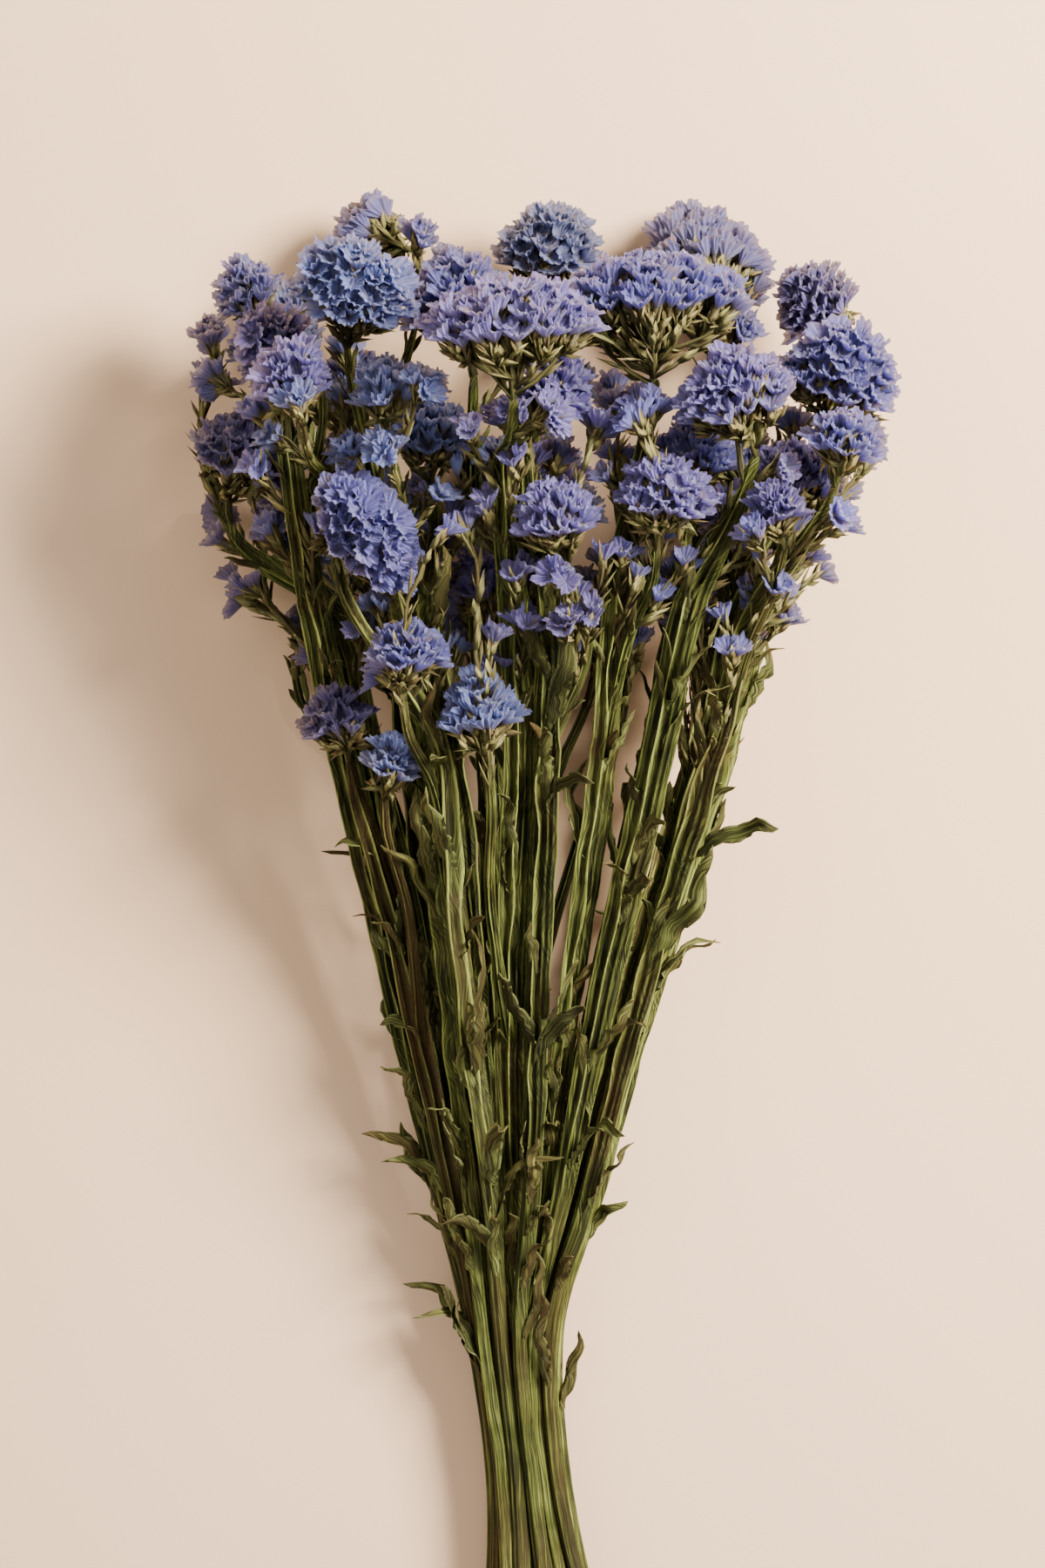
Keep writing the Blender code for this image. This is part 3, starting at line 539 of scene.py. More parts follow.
    def separate(self, pairs: Array) -> None:
        """Pushes the capsules of each pair that are too close apart.

        Args:
            pairs: The numbers of the capsules, pair by pair.
        """
        a, b = pairs[:, 0], pairs[:, 1]
        p1, q1 = self.capsule_ends(a)
        p2, q2 = self.capsule_ends(b)
        s, t = closest(p1, q1, p2, q2)
        apart = (p1 + s[:, None] * (q1 - p1)) - (p2 + t[:, None] * (q2 - p2))
        gap = np.linalg.norm(apart, axis=1)
        short = self.radius[a] + self.radius[b] + CLEARANCE - gap
        hit = short > 0
        if not hit.any():
            return
        a, b, s, t = a[hit], b[hit], s[hit], t[hit]
        push = apart[hit] / np.maximum(gap[hit], 1e-3)[:, None] * short[hit, None]
        weight = np.where(self.is_head[a] & ~self.is_head[b], 1 - STEM_YIELDS, 0.5)
        weight = np.where(self.is_head[b] & ~self.is_head[a], STEM_YIELDS, weight)[:, None]
        move, count = np.zeros_like(self.points), np.zeros(len(self.points))
        for ends, along, share in ((a, s, weight), (b, t, weight - 1)):
            for side, part in ((0, 1 - along), (1, along)):
                nodes = self.ends[ends, side]
                np.add.at(move, nodes, push * share * part[:, None])
                np.add.at(count, nodes, part > 0.02)
        self.points += PUSH * self.give * move / np.sqrt(np.maximum(count, 1))[:, None]

    def settle_on_surface(self) -> None:
        """Keeps every bend and head over the surface that the bunch lies on."""
        least = np.full(len(self.points), BEND_LEAST)
        for placed in self.heads:
            _, thick, rise = head_halves(placed.head)
            least[placed.point] = HEAD_LEAST * min(thick, rise)
        self.points[:, 2] = np.maximum(self.points[:, 2], least)

    def near_pairs(self) -> Array:
        """The pairs whose capsules are near enough to meet in the next rounds.

        Returns:
            The numbers of the capsules, pair by pair.
        """
        start, end = self.capsule_ends()
        middle = (start + end) / 2
        reach = np.linalg.norm(end - start, axis=1) / 2 + self.radius
        a, b = self.pairs[:, 0], self.pairs[:, 1]
        gap = np.linalg.norm(middle[a] - middle[b], axis=1) - reach[a] - reach[b]
        return self.pairs[gap < self.near]

    def solve(self) -> None:
        """Runs the rounds of pushing, easing and settling."""
        self.freeze()
        smooth = np.array(self.smooth)
        waist = (self.points[:, 1] > WAIST[0]) & (self.points[:, 1] < WAIST[1])
        middle, _, depth = np.array([outline_at(y) for y in self.points[:, 1]]).T
        heart = np.stack([middle, self.points[:, 1], depth], axis=1)
        for step in range(self.rounds + self.last_rounds):
            if step % self.refresh == 0:
                near = self.near_pairs()
            self.separate(near)
            self.points[waist] += self.hold * (heart - self.points)[waist]
            if step < self.rounds:
                ease = self.ease * (1 - step / self.rounds)
                below, bend, above = smooth.T
                mean = (self.points[below] + self.points[above]) / 2
                self.points[bend] += ease * self.give[bend] * (mean - self.points[bend])
                self.points += 0.25 * ease * self.give * (self.home - self.points)
                self.points[waist] += self.gather * (heart - self.points)[waist]
            self.settle_on_surface()


class Blade(NamedTuple):
    """A leaf that found room: its stem, midrib, width, stem's direction and outward side."""

    spray: int
    path: Array
    width: float
    tangent: Array
    outward: Array


def leaf_path(
    base: Array, tangent: Array, outward: Array, length: float, curl: float
) -> Array:
    """A leaf's midrib: it leaves along the stem, leans outward and curls over.

    The heading turns from the stem's direction to the outward side by LEAF_SPREAD plus curl
    times t to the power 1.5, and the midrib is the running sum of the headings.

    Args:
        base: Where the leaf leaves the stem.
        tangent: The stem's direction there.
        outward: The side it leans to.
        length: How long it is.
        curl: How far it curls over, in degrees.

    Returns:
        The midrib's points.
    """
    turn = np.radians(LEAF_SPREAD + curl * np.linspace(0, 1, LEAF_POINTS) ** 1.5)
    heading = np.cos(turn)[:, None] * tangent + np.sin(turn)[:, None] * outward
    places = np.cumsum(heading[:-1] * length / (LEAF_POINTS - 1), axis=0)
    return np.vstack([base, base + places])


@dataclass
class Room:
    """The room that stems, heads and what is added to them take, as capsules with owners."""

    layout: Layout

    def __post_init__(self) -> None:
        """Starts from the stems and heads of the layout."""
        self.start, self.end = self.layout.capsule_ends()
        self.radius = self.layout.radius
        self.owner = self.layout.spray

    def take(self, start: Array, end: Array, radius: float, owner: int) -> None:
        """Adds capsules.

        Args:
            start: Where they start.
            end: Where they end.
            radius: Their radius.
            owner: The spray that they belong to.
        """
        count = len(start)
        self.start = np.vstack([self.start, start])
        self.end = np.vstack([self.end, end])
        self.radius = np.append(self.radius, np.full(count, radius))
        self.owner = np.append(self.owner, np.full(count, owner))

    def gap(self, points: Array, other: Array, axes: int = 3) -> float:
        """The least distance from a point, or any of some points, to any of some capsules.

        Args:
            points: The point or points.
            other: Which capsules count.
            axes: How many axes count, 2 being the distance seen from above.

        Returns:
            The distance, below 0 where a point lies inside.
        """
        a = self.start[other][:, :axes]
        along = self.end[other][:, :axes] - a
        points = np.atleast_2d(points)[:, None, :axes]
        t = ((points - a) * along).sum(2) / np.maximum((along * along).sum(1), 1e-9)
        near = a + np.clip(t, 0, 1)[..., None] * along
        return float((np.linalg.norm(points - near, axis=2) - self.radius[other]).min())

    def least_gap(self, points: Array, spray: int) -> float:
        """The least distance from any of some points to what other sprays own near them.

        Args:
            points: The points.
            spray: The spray that they belong to.

        Returns:
            The distance, or infinity where nothing is near.
        """
        reach = self.radius[:, None]
        low = np.minimum(self.start, self.end) - reach < points.max(axis=0)
        high = np.maximum(self.start, self.end) + reach > points.min(axis=0)
        near = (self.owner != spray) & low.all(axis=1) & high.all(axis=1)
        return self.gap(points, near) if near.any() else math.inf


@dataclass
class LeafRoom(Room):
    """Finds where each leaf fits beside the stems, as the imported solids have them."""

    def __post_init__(self) -> None:
        """Starts without leaves."""
        super().__post_init__()
        self.blades: list[Blade] = []

    def stem_at(self, spray: int, y: float) -> tuple[Array, Array]:
        """The point and direction of a stem at a height.

        Args:
            spray: The stem's number.
            y: The height above the cut ends.

        Returns:
            The point and the direction.
        """
        line = stop_line(self.layout, self.layout.stems[spray][0].stops)
        k = int(np.clip(np.searchsorted(line[:, 1], y) - 1, 0, len(line) - 2))
        part = np.clip((y - line[k, 1]) / (line[k + 1, 1] - line[k, 1]), 0, 1)
        return line[k] + part * (line[k + 1] - line[k]), unit(line[k + 1] - line[k])

    def place_leaf(self, spray: int, item: Leaf) -> None:
        """Adds the longest form of a leaf that is clear of other sprays and leaves, if any.

        Args:
            spray: The stem's number.
            item: The leaf.
        """
        base, tangent = self.stem_at(spray, item.y)
        for size in LEAF_SIZES:
            length = size * item.length
            width = LEAF_WIDTH[0] + LEAF_WIDTH[1] * length
            for turn in LEAF_TURNS:
                outward = across_at(math.radians(item.side + turn), tangent)
                path = leaf_path(base, tangent, outward, length, item.curl)
                probe = np.vstack([path[1:], (path[1:] + path[:-1]) / 2])
                room = self.gap(probe, self.owner != spray) - width / 2 - CLEARANCE
                if room > 0 and path[:, 2].min() > width / 2:
                    self.take(path[:-1], path[1:], width / 2, spray)
                    self.blades.append(Blade(spray, path, width, tangent, outward))
                    return

    def place_leaves(self) -> None:
        """The leaves in front, each on the foremost stem near it, and those underneath."""
        for item in LEAVES:
            choices = []
            for spray in range(len(SPRAYS)):
                base, _ = self.stem_at(spray, item.y)
                if base[1] > item.y - LEAF_TOO_HIGH:
                    choices.append((abs(base[0] - item.x) - LEAF_TO_FRONT * base[2], spray))
            self.place_leaf(min(choices)[1], item)
        for spray in range(0, len(SPRAYS), 2):
            y = UNDER_LEAF_Y[(spray // 2) % len(UNDER_LEAF_Y)]
            self.place_leaf(spray, Leaf(0, y, UNDER_LEAF_LENGTH, 270, UNDER_LEAF_CURL))


@dataclass
class SprigRoom(Room):
    """Finds where side shoots fit among the heads.

    spacing is how far apart feet are tried, low the least height of a short shoot's foot,
    tries how many forms of it are tried, lengths and leans what they are drawn from, bloom
    how far past a shoot's end the middle of its florets lies, and girth the room round them.
    margins keep that middle inside the box.

    most and fills limit how many there are in all and how many of them are long ones. For
    those, up to fill_tries places are looked at, inside fill_margins and from fill_over above
    low. A place needs a distance within fill_gap from heads and stems, at least fill_seen
    from the blue seen from above, and a foot that lies below it by an amount within fill_rise
    and aside by fill_lean of that at most. The shoot's control point lies along the stem by
    fill_bend of the rise, and its points stray by fill_stray of it.
    """

    low: float = 400.0
    spacing: float = 9.0
    tries: int = 14
    lengths: tuple = (14, 36)
    leans: tuple = (0.1, 0.8)
    girth: float = 3.2
    bloom: float = 6.0
    most: int = 185
    fills: int = 70
    fill_tries: int = 9000
    fill_gap: tuple = (5.0, 19.0)
    fill_seen: float = 2.5
    fill_rise: tuple = (45.0, 120.0)
    fill_lean: float = 0.4
    fill_over: float = 30.0
    fill_bend: float = 0.55
    fill_stray: float = 0.012
    margins: tuple = ((9, 9, 9), (9, 14, 12))
    fill_margins: tuple = ((12, 0, 12), (12, 52, 30))

    def __post_init__(self) -> None:
        """Starts without shoots."""
        super().__post_init__()
        self.blue = self.layout.is_head
        self.rng = np.random.default_rng(SEED + 5)
        self.lines: list[tuple[int, Array]] = []

    def room_at(self, point: Array, spray: int) -> float:
        """The distance from a point to any head or to any stem but the spray's own."""
        return self.gap(point, (self.owner != spray) | self.blue)

    def box(self, margins: tuple) -> tuple[Array, Array]:
        """Both corners of the bunch's box in the layout, each less its margin."""
        corners = np.array(CAD_BOX) / MM + np.array(BUNCH_MIDDLE)
        return corners[0] + margins[0], corners[1] - margins[1]

    def inside(self, point: Array) -> bool:
        """Whether the middle of some florets keeps the margins from both corners."""
        low, high = self.box(self.margins)
        return bool((point > low).all() and (point < high).all())

    def try_line(self, base: Array, tangent: Array, spray: int) -> None:
        """Adds a shoot from a point of a stem, if a few tries find room for its florets.

        The shoot is a quadratic curve that leaves between the stem's direction and a random
        direction across, and bends back towards the stem's direction.

        Args:
            base: The point of the stem.
            tangent: The stem's direction there.
            spray: The stem's number.
        """
        rng = self.rng
        for _ in range(self.tries):
            angle = rng.uniform(0, 2 * math.pi)
            outward = np.array([math.cos(angle), 0, math.sin(angle)])
            length = rng.uniform(*self.lengths)
            bend = base + 0.5 * length * unit(tangent + 0.9 * outward)
            tip = bend + 0.6 * length * unit(tangent + rng.uniform(*self.leans) * outward)
            bloom = tip + self.bloom * unit(tip - bend)
            if self.inside(bloom) and self.room_at(bloom, spray) > self.girth:
                self.add_line(spray, bent(base, bend, tip, np.linspace(0, 1, 5))[0], bloom)
                return

    def add_line(self, spray: int, line: Array, bloom: Array) -> None:
        """Keeps a shoot and the room that its florets take.

        Args:
            spray: The stem that carries it.
            line: The shoot's points.
            bloom: The middle of its florets.
        """
        self.lines.append((spray, line))
        self.take(line[-1:], bloom[None], self.girth, spray)
        self.blue = np.append(self.blue, True)

    def fill(self, feet: list) -> None:
        """Runs long, thin shoots into the gaps between the heads.

        Random places of the upper part are kept where the nearest head or stem is neither too
        near nor too far. The shoot comes from the stem point, well below, that lies nearest to
        its side, and is a quadratic curve that leaves along the stem.

        Args:
            feet: Points of the stems, as (spray, point, tangent).
        """
        rng = self.rng
        points = np.array([foot[1] for foot in feet])
        low, high = self.box(self.fill_margins)
        low[1] = self.low + self.fill_over
        for _ in range(self.fill_tries):
            bloom = rng.uniform(low, high)
            if not self.fill_gap[0] < self.room_at(bloom, -1) < self.fill_gap[1]:
                continue
            if self.gap(bloom, self.blue, 2) < self.fill_seen:
                continue
            rise = bloom[1] - points[:, 1]
            side = np.linalg.norm((bloom - points)[:, [0, 2]], axis=1)
            side[(rise < self.fill_rise[0]) | (rise > self.fill_rise[1])] = math.inf
            k = int(side.argmin())
            if side[k] > self.fill_lean * rise[k]:
                continue
            spray, base, tangent = feet[k]
            bend = base + self.fill_bend * rise[k] * tangent
            tip = bloom - self.bloom * unit(bloom - bend)
            line = bent(base, bend, tip, np.linspace(0, 1, 9))[0]
            line[2:-1] += rng.normal(0, self.fill_stray * rise[k], (6, 3)) * np.array([1, 0.2, 1])
            self.add_line(spray, line, bloom)
            if len(self.lines) >= self.fills:
                return

    def place(self) -> None:
        """Fills the gaps, then tries all stems and branches at even steps of their upper part."""
        spots = []
        for spray, runs in enumerate(self.layout.stems):
            for run in runs:
                line = smooth_path(stop_line(self.layout, run.stops), self.spacing)
                tangent = unit(np.gradient(line, axis=0))
                spots += [(spray, line[k], tangent[k]) for k in range(len(line) - 1)]
        self.fill(spots)
        spots = [spot for spot in spots if spot[1][1] > self.low]
        for k in self.rng.permutation(len(spots)):
            if len(self.lines) < self.most:
                spray, base, tangent = spots[k]
                self.try_line(base, tangent, spray)


def stop_line(layout: Layout, stops: list) -> Array:
    """The places of a stem's or branch's stops."""
    return np.array([layout.points[point] + shift for point, shift in stops])


@dataclass
class Surface:
    """A surface as arrays: its points, faces, pattern coordinates and look.

    weave is a place on the surface for fibres: across in millimetres, along in millimetres
    and a number that differs from piece to piece. look is how far towards the rim or edge a
    point lies, from 0 to 1, on a stem instead how light it is painted, high on crests as a
    painted highlight and low in grooves as painted shade, then a random tone from 0 to 1, and
    how brown it is, from 0 to 1.
    """

    verts: Array
    quads: Array
    tris: Array
    weave: Array
    look: Array


def ring_faces(rows: int, around: int) -> tuple[Array, Array]:
    """Faces of a closed tube of rows rings, with its two end points after the rings.

    Args:
        rows: How many rings.
        around: How many points in a ring.

    Returns:
        The quads between the rings and the triangles at both ends.
    """
    j = np.arange(around)
    n = (j + 1) % around
    low = (np.arange(rows - 1) * around)[:, None]
    quads = np.stack([low + j, low + n, low + around + n, low + around + j], axis=2)
    last = (rows - 1) * around
    foot = np.stack([n, j, np.full(around, rows * around)], axis=1)
    top = np.stack([last + j, last + n, np.full(around, rows * around + 1)], axis=1)
    return quads.reshape(-1, 4), np.vstack([foot, top])


def path_frames(path: Array, reference: Array) -> tuple[Array, Array]:
    """At each point of a path, unit vectors to its side and to its front.

    Args:
        path: The path's points.
        reference: The direction that the side follows.

    Returns:
        The side and the front at each point.
    """
    along = unit(np.gradient(path, axis=0))
    side = square_to(reference, along)
    return side, np.cross(along, side)


def smooth_path(stops: Array, spacing: float) -> Array:
    """A smooth line through stops, in steps of about spacing.

    Between two stops it is a cubic Hermite piece, whose slope at each stop is the slope of
    the stops on either side over the length run.

    Args:
        stops: The stops in order.
        spacing: How far apart the new points lie.

    Returns:
        The line's points.
    """
    chords = np.maximum(np.linalg.norm(np.diff(stops, axis=0), axis=1), 1e-6)
    reach = np.concatenate([[0], np.cumsum(chords)])
    slope = np.gradient(stops, reach, axis=0)
    at = np.linspace(0, reach[-1], max(int(reach[-1] / spacing), 3) + 1)
    k = np.clip(np.searchsorted(reach, at, side="right") - 1, 0, len(stops) - 2)
    h = chords[k][:, None]
    t = (at - reach[k])[:, None] / h
    start = (2 * t**3 - 3 * t**2 + 1) * stops[k] + (t**3 - 2 * t**2 + t) * h * slope[k]
    end = (3 * t**2 - 2 * t**3) * stops[k + 1] + (t**3 - t**2) * h * slope[k + 1]
    return start + end


def tube(
    path: Array,
    rings: Array,
    reference: Array,
    edge: Array,
    tone: float,
    brown: Array,
    mark: float,
) -> Surface:
    """A closed tube: at each point of the path a ring of (side, front) offsets.

    Args:
        path: Points along the middle, one for each ring.
        rings: Offsets, by ring, point and (side, front).
        reference: The direction that the side follows.
        edge: How far out each ring point lies, from 0 to 1, or on a stem how light it is painted:
            high on crests as a painted highlight, low in grooves as painted shade.
        tone: The piece's random tone.
        brown: How brown each ring is.
        mark: A number that sets this piece's pattern apart.

    Returns:
        The surface, with both ends closed to a point.
    """
    rows, around = rings.shape[:2]
    side, front = path_frames(path, np.asarray(reference, float))
    verts = path[:, None] + rings[..., :1] * side[:, None] + rings[..., 1:] * front[:, None]
    step = np.linalg.norm(np.roll(rings, -1, axis=1) - rings, axis=2)
    across = np.cumsum(step, axis=1) - step
    along = np.broadcast_to(run_at(path)[:, None], across.shape)
    weave = np.stack([across, along, np.full_like(across, mark)], axis=2)
    browns = np.broadcast_to(np.asarray(brown, float)[:, None], across.shape)
    edges = np.broadcast_to(edge, across.shape)
    look = np.stack([edges, np.full_like(across, tone), browns], axis=2)
    quads, tris = ring_faces(rows, around)
    ends = [0, -1]
    return Surface(
        np.vstack([verts.reshape(-1, 3), path[ends]]),
        quads,
        tris,
        np.vstack([weave.reshape(-1, 3), weave[ends, 0]]),
        np.vstack([look.reshape(-1, 3), look[ends, 0]]),
    )


def turned_rings(x: Array, y: Array, turn: Array) -> Array:
    """Rings of the points x and y, each ring turned by its own angle in radians."""
    c, s = np.cos(turn)[:, None], np.sin(turn)[:, None]
    return np.stack([c * x - s * y, s * x + c * y], axis=2)


def joined(
    verts: Array, quads: Array, tris: Array, weave: Array, look: Array
) -> Surface:
    """Many copies of a shape as one surface.

    Args:
        verts: The points, by copy and point.
        quads: The quads of one copy.
        tris: The triangles of one copy.
        weave: The place for fibres, by copy and point.
        look: The look, by copy and point.

    Returns:
        The surface.
    """
    step = (np.arange(len(verts)) * verts.shape[1])[:, None, None]
    quads, tris = (quads + step).reshape(-1, 4), (tris + step).reshape(-1, 3)
    return Surface(verts.reshape(-1, 3), quads, tris, weave.reshape(-1, 3), look.reshape(-1, 3))


def scattered(
    template: Surface,
    places: Array,
    axes: Array,
    sizes: Array,
    tones: Array,
    browns: Array,
) -> Surface:
    """Copies of a small shape, each turned, sized and placed on its own.

    A copy's points are the template's, times its sizes, along its own three axes, plus its
    place. All copies are worked out as one array.

    Args:
        template: The small shape, with z as its length.
        places: Where each copy's foot lies.
        axes: Each copy's x, y and z directions, as rows.
        sizes: Each copy's size along its three axes.
        tones: Each copy's random tone.
        browns: What each copy adds to the template's brown.

    Returns:
        All copies as one surface.
    """
    copies, count = len(places), len(template.verts)
    local = template.verts[None] * sizes[:, None]
    verts = places[:, None] + np.einsum("cvi,cij->cvj", local, axes)
    weave = np.broadcast_to(template.weave, (copies, count, 3)).copy()
    weave[..., 2] += np.arange(copies)[:, None] * 3.7 + tones[:, None] * 11
    look = np.broadcast_to(template.look, (copies, count, 3)).copy()
    look[..., 1] = tones[:, None]
    look[..., 2] += browns[:, None]
    return joined(verts, template.quads, template.tris, weave, look)


def in_scene(name: str, data: ID) -> Object:
    """A new object of that name and data, linked to the scene."""
    thing = bpy.data.objects.new(name, data)
    bpy.context.scene.collection.objects.link(thing)
    return thing


class Gathering:
    """The surfaces of one piece, gathered by finish until they become one mesh."""

    def __init__(self) -> None:
        """Starts empty."""
        self.parts: list[tuple[Surface, int]] = []

    def add(self, surface: Surface, finish: int = 0) -> None:
        """Adds a surface that takes the piece's finish of that number."""
        self.parts.append((surface, finish))

    def piece(
        self, name: str, finishes: list, nodes: tuple, slot: str, smooth: bool
    ) -> Object:
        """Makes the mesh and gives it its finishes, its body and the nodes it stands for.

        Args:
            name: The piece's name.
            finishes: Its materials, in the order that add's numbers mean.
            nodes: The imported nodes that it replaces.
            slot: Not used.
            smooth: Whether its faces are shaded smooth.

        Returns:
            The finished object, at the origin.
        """
        verts = np.vstack([s.verts for s, _ in self.parts]) - np.array(BUNCH_MIDDLE)
        low = verts[:, 2] < FLOOR_SOFT
        verts[low, 2] = FLOOR_SOFT * np.exp(verts[low, 2] / FLOOR_SOFT - 1)
        corners, starts, numbers, base, loops = [], [], [], 0, 0
        for surface, finish in self.parts:
            for faces in (surface.quads, surface.tris):
                if len(faces) == 0:
                    continue
                sides = faces.shape[1]
                corners.append((faces + base).ravel())
                starts.append(loops + np.arange(len(faces)) * sides)
                numbers.append(np.full(len(faces), finish))
                loops += faces.size
            base += len(surface.verts)
        mesh = bpy.data.meshes.new(name)
        mesh.vertices.add(len(verts))
        mesh.vertices.foreach_set("co", (verts * MM).astype(np.float32).ravel())
        mesh.loops.add(loops)
        mesh.loops.foreach_set("vertex_index", np.concatenate(corners).astype(np.int32))
        start = np.concatenate(starts).astype(np.int32)
        mesh.polygons.add(len(start))
        mesh.polygons.foreach_set("loop_start", start)
        mesh.polygons.foreach_set("material_index", np.concatenate(numbers).astype(np.int32))
        mesh.polygons.foreach_set("use_smooth", np.full(len(start), smooth))
        for label in ("weave", "look"):
            layer = mesh.attributes.new(label, "FLOAT_VECTOR", "POINT")
            values = np.vstack([getattr(s, label) for s, _ in self.parts])
            layer.data.foreach_set("vector", values.astype(np.float32).ravel())
        for finish in finishes:
            mesh.materials.append(finish)
        mesh.update(calc_edges=True)
        mesh.validate()
        thing = in_scene(name, mesh)
        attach(thing, "root")
        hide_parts(*nodes)
        triangles = sum(2 * len(s.quads) + len(s.tris) for s, _ in self.parts)
        LOG.info("%s: %d triangles", name, triangles)
        return thing


@dataclass(frozen=True)
class Calyx:
    """One floret: a slim tube that opens into a frilled, papery funnel."""

    around: int = 24
    tube_length: float = 5.2
    throat: float = 1.1
    rim: float = 6.1
    length: float = 12.0
    ruffle: float = 1.0

    def surface(self, rng: np.random.Generator, openness: float) -> Surface:
        """One form of the floret, with its own folds.

        The outer wall runs from the throat to the rim, and the inner wall from the rim back
        to its bottom. Each ring's radius is stepped by a crimp that goes in and out from
        point to point, by lobes and by a little chance, and its height by the same three, all
        times its fold. The lobes are a wave of three to five turns with a wave of two.

        Args:
            rng: The chance that folds it.
            openness: How wide the funnel stands open, 1 being full.

        Returns:
            The floret along z, its foot at the origin.
        """
        n = self.around
        angle, crimp = angles(n), np.where(np.arange(n) % 2 == 0, 1.0, -1.0)
        lobes = 0.6 * np.cos(rng.integers(3, 6) * angle + rng.uniform(*PHASES))
        lobes = lobes + 0.5 * np.cos(2 * angle + rng.uniform(*PHASES))
        throat_chance, rim_chance = rng.normal(0, 1, (2, n))
        wide, low = self.rim * openness, self.tube_length
        top = self.length + (1 - openness) * 1.6
        rings = []
        for radius, z, fold, chance in (
            (self.throat, low, 0.0, throat_chance),
            (wide, top, 1.35, rim_chance),
            (0.56 * wide, low + 0.60 * (top - low), 0.7, throat_chance),
        ):
            r = radius * (1 + fold * (0.05 * crimp + 0.07 * lobes + 0.07 * chance))
            lift = fold * self.ruffle * (0.55 * lobes + 0.55 * chance - 0.40 * crimp)
            rings.append(np.stack([r * np.cos(angle), r * np.sin(angle), z + lift], axis=1))
        quads, tris = ring_faces(len(rings), n)
        tips = np.array([[0, 0, low - 0.3], [0, 0, low + 0.30 * (top - low)]])
        share = np.concatenate([np.repeat([0.42, 1.0, 0.70], n), (0.40, 0.5)])
        turn = np.concatenate([np.tile(np.arange(n) / n * 30.0, len(rings)), (0, 0)])
        weave = np.stack([turn, share * self.length, 0 * share], axis=1)
        look = np.stack([share, 0 * share, 0 * share], axis=1)
        stalk = self.tube_surface()
        offset = len(rings) * n + 2
        return Surface(
            np.vstack([*rings, tips, stalk.verts]),
            np.vstack([quads, stalk.quads + offset]),
            np.vstack([tris, stalk.tris + offset]),
            np.vstack([weave, stalk.weave]),
            np.vstack([look, stalk.look]),
        )

    def tube_surface(self) -> Surface:
        """The floret's tube, with four sides.

        Returns:
            The tube along z, its foot at the origin.
        """
        path = np.array([[0, 0, 0], [0, 0, self.tube_length + 1.4]])
        circle = np.array([[1, 0], [0, 1], [-1, 0], [0, -1]])
        rings = np.array([0.6, 1.4])[:, None, None] * circle
        surface = tube(path, rings, (1, 0, 0), np.zeros(4), 0.0, np.zeros(2), 0.0)
        surface.look[:, 0] = surface.verts[:, 2] / self.length * 0.8
        return surface


@dataclass(frozen=True)
class Bract:
    """A small pointed, keeled scale."""

    width: float = 1.0
    keel: float = 0.42

    def surface(self) -> Surface:
        """The scale along z, one unit long, as a three-sided blade that ends in a point.

        Its half width follows a lance: 0.5, 1 and nearly 0 of the widest at 0, 0.42 and 1 of
        its length, and it leans a little to the front.

        Returns:
            The scale, its foot at the origin.
        """
        at = np.array([0.0, 0.42, 1.0])
        half = np.array([0.5, 1.0, 0.03]) * self.width / 2
        lean = 0.10 * at**2
        path = np.stack([np.zeros(3), lean, at], axis=1)
        rings = half[:, None, None] * np.array([[1, 0.25], [-1, 0.25], [0, -self.keel]])
        surface = tube(path, rings, (1, 0, 0), np.array([1.0, 1.0, 0.0]), 0.0, 0.4 * at, 0.0)
        surface.weave[:, 1] *= 8
        return surface


def turned_axes(along: Array, facing: Array, spin: Array) -> Array:
    """Axes for copies whose z runs along, turned by spin from the side that they face.

    Args:
        along: Each copy's length, as unit rows.
        facing: A direction for each copy that its y follows.
        spin: Each copy's turn about its length, in radians.

    Returns:
        Each copy's x, y and z directions, as rows.
    """
    y = square_to(facing, along)
    x = np.cross(y, along)
    c, s = np.cos(spin)[:, None], np.sin(spin)[:, None]
    return np.stack([c * x + s * y, c * y - s * x, along], axis=1)


def picked_apart(points: Array, gap: float) -> Array:
    """The numbers of points taken in order, each at least gap from those taken before.

    Args:
        points: All points.
        gap: The least distance between two that are taken.

    Returns:
        The numbers of those that are taken.
    """
    kept = [0]
    for k in range(1, len(points)):
        if ((points[kept] - points[k]) ** 2).sum(1).min() > gap * gap:
            kept.append(k)
    return np.array(kept)


